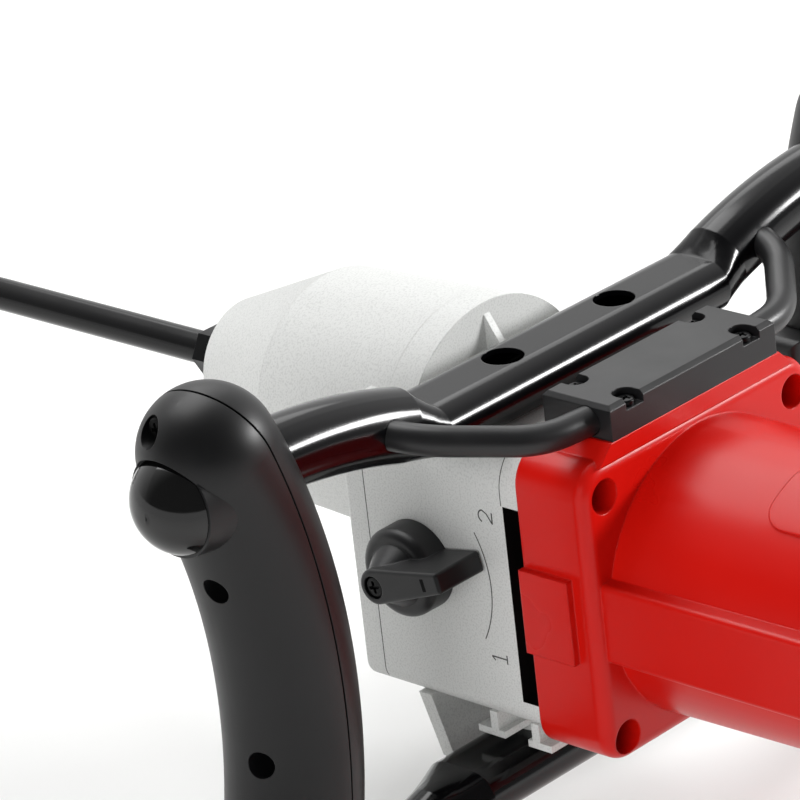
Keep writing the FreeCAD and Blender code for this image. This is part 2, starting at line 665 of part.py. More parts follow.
def motor_rear_cover():
    wall = REAR_COVER_WALL
    skirt = REAR_SKIRT_SHARE * REAR_COVER_LENGTH
    shell = turned([
        (0, REAR_FACE_Y), (REAR_FACE_R, REAR_FACE_Y), (MOTOR_REAR_R - REAR_SKIRT_DROP, MOTOR_BACK_Y - skirt),
        (MOTOR_REAR_R, MOTOR_BACK_Y - 0.5 * skirt), (MOTOR_REAR_R, MOTOR_BACK_Y),
        (STATOR_R, MOTOR_BACK_Y), (STATOR_R, MOTOR_BACK_Y - skirt),
        (REAR_FACE_R - wall, REAR_FACE_Y + wall), (0, REAR_FACE_Y + wall),
    ], MOTOR_AXIS)
    ear_y = MOTOR_BACK_Y - EAR_LENGTH
    ears = beam(ear_y, MOTOR_BACK_Y)
    ears = ears.cut(cyl_y(STATOR_R, ear_y, MOTOR_BACK_Y, MOTOR_AXIS))
    boss_end = REAR_FACE_Y + REAR_BOSS_LENGTH
    boss = cyl_y(ARMATURE_BEARING_R + REAR_BOSS_WALL, REAR_FACE_Y + wall, boss_end, MOTOR_AXIS)
    pocket = cyl_y(ARMATURE_BEARING_R + SEAT, boss_end - ARMATURE_BEARING_W, boss_end, MOTOR_AXIS)
    shape = shell.fuse([ears, boss]).cut(pocket)
    vents = []
    for step in range(REAR_VENTS):
        vent = box(
            REAR_VENT_R, REAR_FACE_R - REAR_VENT_MARGIN, REAR_FACE_Y - JOIN, REAR_FACE_Y + wall + JOIN,
            -REAR_VENT_W / 2, REAR_VENT_W / 2,
        )
        vent.rotate(V(0, 0, 0), V(0, 1, 0), 360.0 * step / REAR_VENTS)
        vent.translate(V(MOTOR_AXIS[0], 0, MOTOR_AXIS[1]))
        vents.append(vent)
    holes = [cyl_y(EAR_SCREW_R + SEAT, ear_y, MOTOR_BACK_Y, at) for at in BEAM_SCREWS]
    spots = [cyl_y(EAR_SCREW_HEAD_R + SLIDE, ear_y - 2 * EAR_SCREW_HEAD_H, ear_y, at) for at in BEAM_SCREWS]
    return shape.cut(vents + holes + spots)


def rear_cover_screws():
    seat = MOTOR_BACK_Y - EAR_LENGTH
    end = MOTOR_BACK_Y + EAR_SCREW_DEPTH - AXIAL_GAP
    return [
        screw_y(seat, end, x, z, EAR_SCREW_R, EAR_SCREW_HEAD_R, EAR_SCREW_HEAD_H) for x, z in BEAM_SCREWS
    ]


def brush_caps():
    outside = -BEAM_HALF_WIDTH - BRUSH_CAP_RISE
    cap = cyl_x(BRUSH_CAP_R, outside, -BEAM_HALF_WIDTH + BRUSH_CAP_DEPTH, BRUSH_Y, -MOTOR_DROP)
    slot = box(
        outside, -BEAM_HALF_WIDTH, BRUSH_Y - BRUSH_CAP_R, BRUSH_Y + BRUSH_CAP_R,
        -MOTOR_DROP - BRUSH_CAP_SLOT / 2, -MOTOR_DROP + BRUSH_CAP_SLOT / 2,
    )
    return both_sides(cap.cut(slot))


def brush_holders():
    x0 = -BEAM_HALF_WIDTH + BRUSH_CAP_DEPTH
    x1 = -COMMUTATOR_R - BRUSH_HOLDER_GAP
    outer = box(
        x0, x1, BRUSH_Y - BRUSH_HOLDER_W / 2, BRUSH_Y + BRUSH_HOLDER_W / 2,
        -MOTOR_DROP - BRUSH_HOLDER_H / 2, -MOTOR_DROP + BRUSH_HOLDER_H / 2,
    )
    inner = box(
        x0, x1, BRUSH_Y - BRUSH_W / 2 - RUN, BRUSH_Y + BRUSH_W / 2 + RUN,
        -MOTOR_DROP - BRUSH_H / 2 - RUN, -MOTOR_DROP + BRUSH_H / 2 + RUN,
    )
    return both_sides(outer.cut(inner))


def carbon_brushes():
    brush = box(
        -COMMUTATOR_R - BRUSH_LENGTH, -COMMUTATOR_R - SLIDE, BRUSH_Y - BRUSH_W / 2, BRUSH_Y + BRUSH_W / 2,
        -MOTOR_DROP - BRUSH_H / 2, -MOTOR_DROP + BRUSH_H / 2,
    )
    return both_sides(brush)


STATOR_Y0 = FLANGE_BACK_Y - STATOR_BACK
STATOR_Y1 = STATOR_Y0 + STATOR_LENGTH
YOKE_R = STATOR_R - YOKE_THICK


def stator_core():
    yoke = ring_y(STATOR_R, YOKE_R, STATOR_Y0, STATOR_Y1, MOTOR_AXIS)
    poles = []
    for middle in (math.pi / 2, -math.pi / 2):
        poles.append(sector_y(
            YOKE_R + JOIN, POLE_R, STATOR_Y0, STATOR_Y1, MOTOR_AXIS, middle - POLE_HALF, middle + POLE_HALF,
        ))
    return yoke.fuse(poles)


def field_coils():
    coils = []
    for middle in (math.pi / 2, -math.pi / 2):
        spread = POLE_HALF + COIL_SPREAD
        inside = POLE_HALF + COIL_MARGIN
        loop = sector_y(
            YOKE_R - COIL_GAP, POLE_R + COIL_INSET, STATOR_Y0 - COIL_END, STATOR_Y1 + COIL_END,
            MOTOR_AXIS, middle - spread, middle + spread,
        )
        window = sector_y(
            YOKE_R + JOIN, POLE_R, STATOR_Y0 - COIL_GAP, STATOR_Y1 + COIL_GAP,
            MOTOR_AXIS, middle - inside, middle + inside,
        )
        coils.append(loop.cut(window))
    return coils


REAR_BEARING_Y = REAR_FACE_Y + REAR_BOSS_LENGTH - ARMATURE_BEARING_W


def armature_shaft():
    shoulder = REAR_BEARING_Y + ARMATURE_BEARING_W + AXIAL_GAP
    neck = WEB_Y0 - AXIAL_GAP
    teeth = DRIVE_Y0 - PINION_LEAD
    back = cyl_y(ARMATURE_JOURNAL_R, REAR_BEARING_Y + END_GAP, shoulder, MOTOR_AXIS)
    middle = cyl_y(ARMATURE_SHAFT_R, shoulder, neck, MOTOR_AXIS)
    front = cyl_y(ARMATURE_JOURNAL_R, neck, teeth, MOTOR_AXIS)
    pinion = gear(
        MOTOR_AXIS, DRIVE_PINION_TEETH, DRIVE_MODULE, DRIVE_SHIFT,
        teeth, DRIVE_Y1, LAYSHAFT_AXIS, True, DRIVE_TIP_TRIM,
    )
    return back.fuse([middle, front, pinion])


def armature_core():
    core = ring_y(ARMATURE_R, ARMATURE_SHAFT_R, STATOR_Y0, STATOR_Y1, MOTOR_AXIS)
    slots = []
    half = ARMATURE_SLOT_W / 2
    for step in range(ARMATURE_SLOTS):
        slot = box(ARMATURE_R - ARMATURE_SLOT_DEPTH, ARMATURE_R + JOIN, STATOR_Y0, STATOR_Y1, -half, half)
        slot.rotate(V(0, 0, 0), V(0, 1, 0), 360.0 * step / ARMATURE_SLOTS)
        slot.translate(V(MOTOR_AXIS[0], 0, MOTOR_AXIS[1]))
        slots.append(slot)
    return core.cut(slots)


def armature_windings():
    ends = []
    wide = ARMATURE_R - WINDING_INSET
    narrow = ARMATURE_R - WINDING_TAPER
    for seat, away in ((STATOR_Y0, -1), (STATOR_Y1, 1)):
        shoulder = seat + away * WINDING_SHOULDER
        end = seat + away * WINDING_END
        ends.append(turned([
            (ARMATURE_SHAFT_R, seat), (wide, seat), (wide, shoulder), (narrow, end), (ARMATURE_SHAFT_R, end),
        ], MOTOR_AXIS))
    return ends


def commutator():
    y0 = FLANGE_BACK_Y - COMMUTATOR_BACK - COMMUTATOR_LENGTH / 2
    return ring_y(COMMUTATOR_R, ARMATURE_SHAFT_R, y0, y0 + COMMUTATOR_LENGTH, MOTOR_AXIS)


def cooling_fan():
    y0 = BLOCK_REAR_Y + AXIAL_GAP
    y1 = WEB_Y0 - 2 * AXIAL_GAP
    disc = ring_y(FAN_R, ARMATURE_SHAFT_R, y0, y0 + FAN_DISC, MOTOR_AXIS)
    hub = ring_y(ARMATURE_SHAFT_R + FAN_HUB_WALL, ARMATURE_SHAFT_R, y0, y1 - AXIAL_GAP, MOTOR_AXIS)
    half = FAN_BLADE_THICK / 2
    blades = []
    for step in range(FAN_BLADES):
        blade = box(FAN_BLADE_ROOT_R, FAN_R - FAN_BLADE_IN, y0, y1, -half, half)
        blade.rotate(V(0, 0, 0), V(0, 1, 0), 360.0 * step / FAN_BLADES)
        blade.translate(V(MOTOR_AXIS[0], 0, MOTOR_AXIS[1]))
        blades.append(blade)
    return disc.fuse([hub] + blades)


def armature_bearings():
    rear = ring_y(
        ARMATURE_BEARING_R, ARMATURE_JOURNAL_R + RUN,
        REAR_BEARING_Y, REAR_BEARING_Y + ARMATURE_BEARING_W, MOTOR_AXIS,
    )
    front_end = WEB_Y0 + ARMATURE_BEARING_W
    front = ring_y(ARMATURE_BEARING_R, ARMATURE_JOURNAL_R + RUN, WEB_Y0, front_end, MOTOR_AXIS)
    return [rear, front]


# Gearbox pieces

CAVITY_HALF_WIDTH = BLOCK_HALF_WIDTH - BLOCK_WALL
CAVITY_TOP = BLOCK_TOP - BLOCK_TOP_WALL
CAVITY_BOTTOM = BLOCK_BOTTOM + BLOCK_WALL
SPINDLE_BOSS_R = SPINDLE_REAR_BEARING_R + SPINDLE_BOSS_WALL
SPINDLE_REAR_Y1 = OUTPUT_Y0 - 5.0 * AXIAL_GAP
SPINDLE_REAR_Y0 = SPINDLE_REAR_Y1 - SPINDLE_REAR_BEARING_W
COVER_SCREW_X = BLOCK_HALF_WIDTH - COVER_SCREW_IN
COVER_SCREWS = [
    (sx * COVER_SCREW_X, z)
    for sx in (-1, 1) for z in (BLOCK_BOTTOM + COVER_SCREW_IN, BLOCK_TOP - COVER_SCREW_DROP)
]
COVER_SCREW_SEAT_Y = COVER_FRONT_Y - COVER_SCREW_HEAD_H


def block_outline(y0, y1):
    """The gearbox block's outside, with wider rounding along its two upper edges."""
    block = box(-BLOCK_HALF_WIDTH, BLOCK_HALF_WIDTH, y0, y1, BLOCK_BOTTOM, BLOCK_TOP)
    along = [e for e in block.Edges if e.BoundBox.YLength > 0.9 * (y1 - y0)]
    upper = [e for e in along if e.CenterOfMass.z > 0]
    block = block.makeFillet(BLOCK_TOP_CORNER, upper)
    along = [e for e in block.Edges if e.BoundBox.YLength > 0.9 * (y1 - y0)]
    lower = [e for e in along if e.CenterOfMass.z < BLOCK_BOTTOM + 0.1]
    return block.makeFillet(BLOCK_CORNER, lower)


def foot_ribs():
    """The T and L ribs under the block, and the two bosses that the lower tube is bolted to."""
    pieces = []
    low = BLOCK_BOTTOM - RIB_DROP
    span = BLOCK_HALF_WIDTH - RIB_IN
    root = BLOCK_BOTTOM + JOIN
    for web_y, foot_back, foot_front in FOOT_RIBS:
        pieces.append(box(-span, span, web_y - RIB_WEB / 2, web_y + RIB_WEB / 2, low, root))
        pieces.append(box(-span, span, foot_back, foot_front, low, low + RIB_FOOT_THICK))
    for x in (-ACCESS_X, ACCESS_X):
        pieces.append(cyl_z(FOOT_BOSS_SHARE * FRAME_BOLT_R, LOWER_SEAT, root, x, FRAME_Y))
    return pieces


def front_skirt():
    """The leaning wall in front of the lower tube."""
    top = BLOCK_BOTTOM + JOIN
    low = BLOCK_BOTTOM - SKIRT_HEIGHT
    low_half = BLOCK_HALF_WIDTH - SKIRT_TAPER
    wall = prism_x([
        (SKIRT_Y, top), (SKIRT_Y + SKIRT_THICK, top),
        (SKIRT_Y + SKIRT_THICK - SKIRT_LEAN, low), (SKIRT_Y - SKIRT_LEAN, low),
    ], -BLOCK_HALF_WIDTH, BLOCK_HALF_WIDTH)
    taper = prism_y(
        [(-low_half, low), (-BLOCK_HALF_WIDTH, top), (BLOCK_HALF_WIDTH, top), (low_half, low)],
        SKIRT_Y - SKIRT_LEAN, SKIRT_Y + SKIRT_THICK,
    )
    return wall.common(taper)


def barrel_fin():
    """The upright web behind the barrel."""
    root = BLOCK_TOP - JOIN
    outline = [(JOIN, BARREL_R - FIN_TIP_DROP), (JOIN, root), (-FIN_DEPTH, root)]
    return prism_x(outline, -FIN_THICK / 2, FIN_THICK / 2)


def gearbox_housing():
    barrel = cone_y(barrel_radius(0), barrel_radius(SEAM_Y), 0, SEAM_Y)
    shape = block_outline(BLOCK_REAR_Y, SEAM_Y).fuse([barrel, barrel_fin(), front_skirt()] + foot_ribs())
    cavity = rounded_block(CAVITY_HALF_WIDTH, CAVITY_BOTTOM, CAVITY_TOP, WEB_Y1, SEAM_Y, CAVITY_CORNER)
    gear_room = cyl_y(BARREL_R - BARREL_WALL, BARREL_SHOULDER, SEAM_Y)
    fan_room = cyl_y(FAN_R + FAN_CLEARANCE, BLOCK_REAR_Y, WEB_Y0, MOTOR_AXIS)
    vent = box(
        -BLOCK_HALF_WIDTH, BLOCK_HALF_WIDTH, BLOCK_REAR_Y, BLOCK_REAR_Y + VENT_LENGTH, VENT_BOTTOM, VENT_TOP,
    )
    shape = shape.cut([cavity, gear_room, fan_room, vent])
    boss_back = SPINDLE_REAR_Y0 - SPINDLE_BOSS_BACK
    boss = cyl_y(SPINDLE_BOSS_R, boss_back, SPINDLE_REAR_Y1)
    hanger = box(-SPINDLE_BOSS_R, SPINDLE_BOSS_R, boss_back, SPINDLE_REAR_Y1, 0, CAVITY_TOP + JOIN)
    shape = shape.fuse([boss, hanger])
    tools = [cyl_y(SPINDLE_REAR_BEARING_R + SEAT, SPINDLE_REAR_Y0, SPINDLE_REAR_Y1)]
    tools.append(cyl_y(ARMATURE_BEARING_R + SEAT, WEB_Y0, WEB_Y0 + ARMATURE_BEARING_W, MOTOR_AXIS))
    tools.append(cyl_y(ARMATURE_JOURNAL_R + SHAFT_CLEARANCE, WEB_Y0, WEB_Y1, MOTOR_AXIS))
    tools.append(cyl_y(SMALL_BEARING_R + SEAT, WEB_Y1 - SMALL_BEARING_W, WEB_Y1, LAYSHAFT_AXIS))
    tools.append(cyl_x(SELECTOR_SHAFT_R + RUN, -BLOCK_HALF_WIDTH, -CAVITY_HALF_WIDTH, SELECTOR_Y, SELECTOR_Z))
    for x, z in FLANGE_SCREWS:
        tools.append(cyl_y(MOTOR_SCREW_R, BLOCK_REAR_Y, BLOCK_REAR_Y + MOTOR_SCREW_DEPTH, (x, z)))
    for at in COVER_SCREWS:
        tools.append(cyl_y(COVER_SCREW_R, SEAM_Y - COVER_SCREW_BITE - AXIAL_GAP, SEAM_Y, at))
    for x in (-ACCESS_X, ACCESS_X):
        tools.append(cyl_z(FRAME_BOLT_R, UPPER_SEAT - FRAME_BOLT_DEPTH, UPPER_SEAT, x, FRAME_Y))
        tools.append(cyl_z(FRAME_BOLT_R, LOWER_SEAT, LOWER_SEAT + FRAME_BOLT_DEPTH, x, FRAME_Y))
    return shape.cut(tools)


def gearbox_front_cover():
    base = block_outline(SEAM_Y, COVER_FRONT_Y)
    front = [e for e in base.Edges if e.BoundBox.YMin > COVER_FRONT_Y - 0.01]
    base = base.makeFillet(COVER_EDGE, front)
    barrel = cone_y(barrel_radius(SEAM_Y), BARREL_FRONT_R, SEAM_Y, BARREL_LENGTH)
    shape = base.fuse(barrel).cut(cyl_y(BARREL_BORE_R, SEAM_Y, BARREL_LENGTH))
    tools = []
    for axis in (LAYSHAFT_AXIS, CLUTCH_AXIS):
        tools.append(cyl_y(SMALL_BEARING_R + SEAT, SEAM_Y, SEAM_Y + SMALL_BEARING_W + 2 * AXIAL_GAP, axis))
    tools.append(cyl_y(RAIL_R + SEAT, SEAM_Y, SEAM_Y + RAIL_SEAT, (RAIL_X, RAIL_Z)))
    for at in COVER_SCREWS:
        tools.append(cyl_y(COVER_SCREW_R + SEAT, SEAM_Y, COVER_FRONT_Y, at))
        tools.append(cyl_y(COVER_SCREW_HEAD_R + SLIDE, COVER_SCREW_SEAT_Y, COVER_FRONT_Y, at))
    return shape.cut(tools)


def spindle_nose():
    cone = cone_y(BARREL_FRONT_R, NOSE_R, BARREL_LENGTH, NOSE_FRONT_Y)
    spigot = cyl_y(BARREL_BORE_R - SEAT, BARREL_LENGTH - NOSE_SPIGOT, BARREL_LENGTH)
    mid_end = BARREL_LENGTH + SPINDLE_MID_BEARING_W
    bores = [
        cyl_y(SPINDLE_MID_BEARING_R + SEAT, BARREL_LENGTH - NOSE_SPIGOT, mid_end),
        cyl_y(SPINDLE_FRONT_BEARING_R + SEAT, mid_end, FRONT_BEARING_END),
        cyl_y(SEAL_R + SEAT, FRONT_BEARING_END, NOSE_FRONT_Y),
    ]
    return cone.fuse(spigot).cut(bores)


def gearbox_cover_screws():
    end = SEAM_Y - COVER_SCREW_BITE
    return [
        screw_y(COVER_SCREW_SEAT_Y, end, x, z, COVER_SCREW_R, COVER_SCREW_HEAD_R, COVER_SCREW_HEAD_H)
        for x, z in COVER_SCREWS
    ]


def bearing_plate():
    plate = rounded_block(
        CAVITY_HALF_WIDTH - SEAT, CAVITY_BOTTOM + SEAT, CAVITY_TOP - SEAT, PLATE_Y0, PLATE_Y1, CAVITY_CORNER,
    )
    return plate.cut([
        cyl_y(SMALL_BEARING_R + SEAT, PLATE_Y1 - SMALL_BEARING_W, PLATE_Y1, CLUTCH_AXIS),
        cyl_y(LAYSHAFT_R + SHAFT_CLEARANCE, PLATE_Y0, PLATE_Y1, LAYSHAFT_AXIS),
        cyl_y(RAIL_R + SEAT, PLATE_Y1 - RAIL_SEAT, PLATE_Y1, (RAIL_X, RAIL_Z)),
    ])


COVER_BEARING_Y0 = SEAM_Y + AXIAL_GAP
COVER_BEARING_Y1 = COVER_BEARING_Y0 + SMALL_BEARING_W


def layshaft_bearings():
    rear = ring_y(SMALL_BEARING_R, JOURNAL_R + RUN, WEB_Y1 - SMALL_BEARING_W, WEB_Y1, LAYSHAFT_AXIS)
    front = ring_y(SMALL_BEARING_R, JOURNAL_R + RUN, COVER_BEARING_Y0, COVER_BEARING_Y1, LAYSHAFT_AXIS)
    return [rear, front]


def clutch_shaft_bearings():
    rear = ring_y(SMALL_BEARING_R, JOURNAL_R + RUN, PLATE_Y1 - SMALL_BEARING_W, PLATE_Y1, CLUTCH_AXIS)
    front = ring_y(SMALL_BEARING_R, JOURNAL_R + RUN, COVER_BEARING_Y0, COVER_BEARING_Y1, CLUTCH_AXIS)
    return [rear, front]


def spindle_bearings():
    front_y0 = FRONT_BEARING_END - SPINDLE_FRONT_BEARING_W
    return [
        ring_y(SPINDLE_REAR_BEARING_R, SPINDLE_JOURNAL_R + RUN, SPINDLE_REAR_Y0, SPINDLE_REAR_Y1),
        ring_y(SPINDLE_MID_BEARING_R, SPINDLE_R + RUN, BARREL_LENGTH, BARREL_LENGTH + SPINDLE_MID_BEARING_W),
        ring_y(SPINDLE_FRONT_BEARING_R, SPINDLE_JOURNAL_R + RUN, front_y0, FRONT_BEARING_END),
    ]


def spindle_seal():
    front = NOSE_FRONT_Y - AXIAL_GAP
    return ring_y(SEAL_R, SPINDLE_JOURNAL_R + RUN, front - SEAL_W, front)


# Drive train pieces

def layshaft():
    back = WEB_Y1 + END_GAP
    fore = SEAM_Y + END_GAP
    shaft = cyl_y(LAYSHAFT_R, back, fore, LAYSHAFT_AXIS)
    rear = cyl_y(JOURNAL_R, WEB_Y1 - SMALL_BEARING_W + SLIDE, back, LAYSHAFT_AXIS)
    front = cyl_y(JOURNAL_R, fore, COVER_BEARING_Y1 - SLIDE, LAYSHAFT_AXIS)
    low = gear(
        LAYSHAFT_AXIS, LOW_PINION_TEETH, SPEED_MODULE, SPEED_SHIFT, LOW_Y0, LOW_Y1, CLUTCH_AXIS, True,
    )
    high = gear(
        LAYSHAFT_AXIS, HIGH_PINION_TEETH, SPEED_MODULE, SPEED_SHIFT, HIGH_Y0, HIGH_Y1, CLUTCH_AXIS, True,
    )
    return shaft.fuse([rear, front, low, high])


def layshaft_drive_gear():
    wheel = gear(
        LAYSHAFT_AXIS, DRIVE_GEAR_TEETH, DRIVE_MODULE, -DRIVE_SHIFT, DRIVE_Y0, DRIVE_Y1, MOTOR_AXIS, False,
    )
    return wheel.cut(cyl_y(LAYSHAFT_R, DRIVE_Y0, DRIVE_Y1, LAYSHAFT_AXIS))


def speed_gear(pinion_teeth, y0, y1, collar_y0, collar_y1):
    """A gear that runs free on the clutch shaft, with a collar for the shift sleeve."""
    teeth = SPEED_TEETH_SUM - pinion_teeth
    wheel = gear(CLUTCH_AXIS, teeth, SPEED_MODULE, -SPEED_SHIFT, y0, y1, LAYSHAFT_AXIS, False)
    collar = cyl_y(HUB_R, collar_y0, collar_y1, CLUTCH_AXIS)
    bore = cyl_y(CLUTCH_SHAFT_R + RUN, min(y0, collar_y0), max(y1, collar_y1), CLUTCH_AXIS)
    return wheel.fuse(collar).cut(bore)


def low_speed_gear():
    return speed_gear(LOW_PINION_TEETH, LOW_Y0, LOW_Y1, LOW_Y1, LOW_Y1 + COLLAR_LENGTH)


def high_speed_gear():
    return speed_gear(HIGH_PINION_TEETH, HIGH_Y0, HIGH_Y1, HIGH_Y0 - COLLAR_LENGTH, HIGH_Y0)


def clutch_shaft():
    back = PLATE_Y1 + END_GAP
    pinion_back = OUTPUT_Y0 - END_GAP
    pinion_fore = OUTPUT_Y1 + END_GAP
    shaft = cyl_y(CLUTCH_SHAFT_R, back, pinion_back, CLUTCH_AXIS)
    rear = cyl_y(JOURNAL_R, PLATE_Y1 - SMALL_BEARING_W + SLIDE, back, CLUTCH_AXIS)
    hub = cyl_y(HUB_R, HUB_Y0, HUB_Y1, CLUTCH_AXIS)
    pinion = gear(
        CLUTCH_AXIS, FINAL_PINION_TEETH, FINAL_MODULE, FINAL_SHIFT,
        pinion_back, pinion_fore, SPINDLE_AXIS, True,
    )
    front = cyl_y(JOURNAL_R, pinion_fore, COVER_BEARING_Y1 - SLIDE, CLUTCH_AXIS)
    return shaft.fuse([rear, hub, pinion, front])


def shift_sleeve():
    bore = HUB_R + SLIDE
    outer = bore + SLEEVE_WALL
    half = HUB_WIDTH / 2 + HUB_GAP
    groove_r = outer - SLEEVE_GROOVE_DEPTH
    groove = SLEEVE_GROOVE_W / 2
    y = FORK_REST_Y
    return turned([
        (bore, y - half), (outer, y - half), (outer, y - groove), (groove_r, y - groove),
        (groove_r, y + groove), (outer, y + groove), (outer, y + half), (bore, y + half),
    ], CLUTCH_AXIS)


def output_gear():
    wheel = gear(
        SPINDLE_AXIS, OUTPUT_GEAR_TEETH, FINAL_MODULE, -FINAL_SHIFT, OUTPUT_Y0, OUTPUT_Y1, CLUTCH_AXIS, False,
    )
    return wheel.cut(cyl_y(SPINDLE_R, OUTPUT_Y0, OUTPUT_Y1))


def spindle():
    front_y = FRONT_BEARING_END - SPINDLE_FRONT_BEARING_W - AXIAL_GAP
    rear_y = SPINDLE_REAR_Y1 + AXIAL_GAP
    rear = cyl_y(SPINDLE_JOURNAL_R, SPINDLE_REAR_Y0 + END_GAP, rear_y)
    middle = cyl_y(SPINDLE_R, rear_y, front_y)
    front = cyl_y(SPINDLE_JOURNAL_R, front_y, COLLAR_BACK_Y)
    corner = COLLAR_FLATS / 2 / math.cos(math.pi / 6)
    hexagon = [(corner * math.cos(math.pi * k / 3), corner * math.sin(math.pi * k / 3)) for k in range(6)]
    collar = prism_y(hexagon, COLLAR_BACK_Y, COLLAR_FRONT_Y)
    socket = cyl_y(ROD_R + SEAT, COLLAR_FRONT_Y - ROD_DEPTH, COLLAR_FRONT_Y)
    return rear.fuse([middle, front, collar]).cut(socket)


# Selector pieces

def turn_to_rest(shape):
    """Turns a selector piece, drawn with its lever along -Y, up to the angle where it stands."""
    shape.rotate(V(0, SELECTOR_Y, SELECTOR_Z), V(-1, 0, 0), math.degrees(SELECTOR_REST))
    return shape


def selector_lever(x0, x1):
    """The lever: round about the selector's axis, with straight sides that close in to a square tip."""
    start = SELECTOR_HEAD_R * math.sin(SELECTOR_TAPER)
    aside = SELECTOR_HEAD_R * math.cos(SELECTOR_TAPER)
    tip_half = aside - (SELECTOR_LEVER - start) * math.tan(SELECTOR_TAPER)

    def point(along, across):
        return V(x0, SELECTOR_Y - along, SELECTOR_Z + across)

    outline = Part.Wire([
        Part.LineSegment(point(start, aside), point(SELECTOR_LEVER, tip_half)).toShape(),
        Part.LineSegment(point(SELECTOR_LEVER, tip_half), point(SELECTOR_LEVER, -tip_half)).toShape(),
        Part.LineSegment(point(SELECTOR_LEVER, -tip_half), point(start, -aside)).toShape(),
        Part.Arc(point(start, -aside), point(-SELECTOR_HEAD_R, 0), point(start, aside)).toShape(),
    ])
    lever = Part.Face(outline).extrude(V(x1 - x0, 0, 0))
    tip = SELECTOR_Y - SELECTOR_LEVER
    rounded = [e for e in lever.Edges if e.BoundBox.XMax < x0 + 0.1 or e.BoundBox.YMax < tip + 0.1]
    rounded = [e for e in rounded if e.BoundBox.XMin < x1 - 0.1]
    return lever.makeFillet(SELECTOR_EDGE, rounded)


def selector_knob():
    """A round base and crown, with a tall lever from just above the block up to the knob's head."""
    face = -BLOCK_HALF_WIDTH - SLIDE
    top = -BLOCK_HALF_WIDTH - SELECTOR_STAND
    shoulder = face - SELECTOR_BASE_H
    base = cyl_x(SELECTOR_BASE_R, shoulder, face, SELECTOR_Y, SELECTOR_Z)
    base = base.makeFillet(SELECTOR_BASE_EDGE, [e for e in base.Edges if e.BoundBox.XMax < shoulder + 0.1])
    crown = Part.makeCone(
        SELECTOR_CROWN_R, SELECTOR_CROWN_TOP_R, shoulder - top - SELECTOR_CROWN_DROP,
        V(shoulder, SELECTOR_Y, SELECTOR_Z), V(-1, 0, 0),
    )
    knob = base.fuse([crown, selector_lever(top, face - SELECTOR_LEVER_GAP)])
    bore = cyl_x(SELECTOR_SHAFT_R, SELECTOR_SHAFT_X, face, SELECTOR_Y, SELECTOR_Z)
    recess = cyl_x(SELECTOR_SCREW_HEAD_R + SLIDE, top, top + SELECTOR_SCREW_SUNK, SELECTOR_Y, SELECTOR_Z)
    hole = cyl_x(SELECTOR_SCREW_R, top, SELECTOR_SHAFT_X, SELECTOR_Y, SELECTOR_Z)
    return turn_to_rest(knob.cut([bore, recess, hole]))


def selector_screw():
    seat = -BLOCK_HALF_WIDTH - SELECTOR_STAND + SELECTOR_SCREW_SUNK
    head = cyl_x(SELECTOR_SCREW_HEAD_R, seat - SELECTOR_SCREW_HEAD_H, seat, SELECTOR_Y, SELECTOR_Z)
    shank = cyl_x(SELECTOR_SCREW_R, seat, SELECTOR_SHAFT_X + SELECTOR_SCREW_BITE, SELECTOR_Y, SELECTOR_Z)
    return head.fuse(shank)


def selector_shaft():
    disc = -CAVITY_HALF_WIDTH + SLIDE
    shaft = cyl_x(SELECTOR_SHAFT_R, SELECTOR_SHAFT_X, disc + CRANK_DISC_THICK, SELECTOR_Y, SELECTOR_Z)
    thread = cyl_x(
        SELECTOR_SCREW_R, SELECTOR_SHAFT_X, SELECTOR_SHAFT_X + SELECTOR_SCREW_BITE, SELECTOR_Y, SELECTOR_Z,
    )
    crank = cyl_x(CRANK_DISC_R, disc, disc + CRANK_DISC_THICK, SELECTOR_Y, SELECTOR_Z)
    pin = cyl_x(CRANK_PIN_R, disc, FORK_X + FORK_ARM_THICK, SELECTOR_Y, SELECTOR_Z + CRANK)
    return turn_to_rest(shaft.fuse([crank, pin]).cut(thread))


FORK_X = -CAVITY_HALF_WIDTH + SLIDE + CRANK_DISC_THICK + SLIDE


def shift_fork():
    half = FORK_THICK / 2
    sleeve_r = HUB_R + SLIDE + SLEEVE_WALL
    inner = sleeve_r - SLEEVE_GROOVE_DEPTH + SLIDE
    outer = sleeve_r + FORK_RIM
    y = FORK_REST_Y
    horseshoe = ring_y(outer, inner, y - half, y + half, CLUTCH_AXIS)
    horseshoe = horseshoe.cut(box(
        CLUTCH_AXIS[0] + FORK_OPENING, CLUTCH_AXIS[0] + outer, y - half, y + half,
        CLUTCH_AXIS[1] - outer, CLUTCH_AXIS[1] + outer,
    ))
    bridge = box(
        FORK_X, CLUTCH_AXIS[0] - FORK_BRIDGE_SHARE * inner, y - half, y + half,
        CLUTCH_AXIS[1] - FORK_BRIDGE_HALF, CLUTCH_AXIS[1] + FORK_BRIDGE_HALF,
    )
    bridge = bridge.cut(cyl_y(inner, y - half, y + half, CLUTCH_AXIS))
    slot_half = CRANK_PIN_R + SLIDE
    arm_half = slot_half + FORK_WALL
    arm_y = y + SELECTOR_OFFSET
    arm_top = SELECTOR_Z + CRANK + CRANK_PIN_R + 2 * FORK_WALL
    arm = box(FORK_X, FORK_X + FORK_ARM_THICK, arm_y - arm_half, arm_y + arm_half, RAIL_Z, arm_top)
    slot = box(
        FORK_X, FORK_X + FORK_ARM_THICK, arm_y - slot_half, arm_y + slot_half,
        SELECTOR_Z + CRANK * math.cos(SELECTOR_SWING) - CRANK_PIN_R - AXIAL_GAP, arm_top - FORK_WALL,
    )
    eye = cyl_y(RAIL_R + FORK_WALL, arm_y - arm_half, arm_y + arm_half, (RAIL_X, RAIL_Z))
    rail_hole = cyl_y(RAIL_R + RUN, arm_y - arm_half, arm_y + arm_half, (RAIL_X, RAIL_Z))
    return arm.fuse([eye, bridge, horseshoe]).cut([slot, rail_hole])


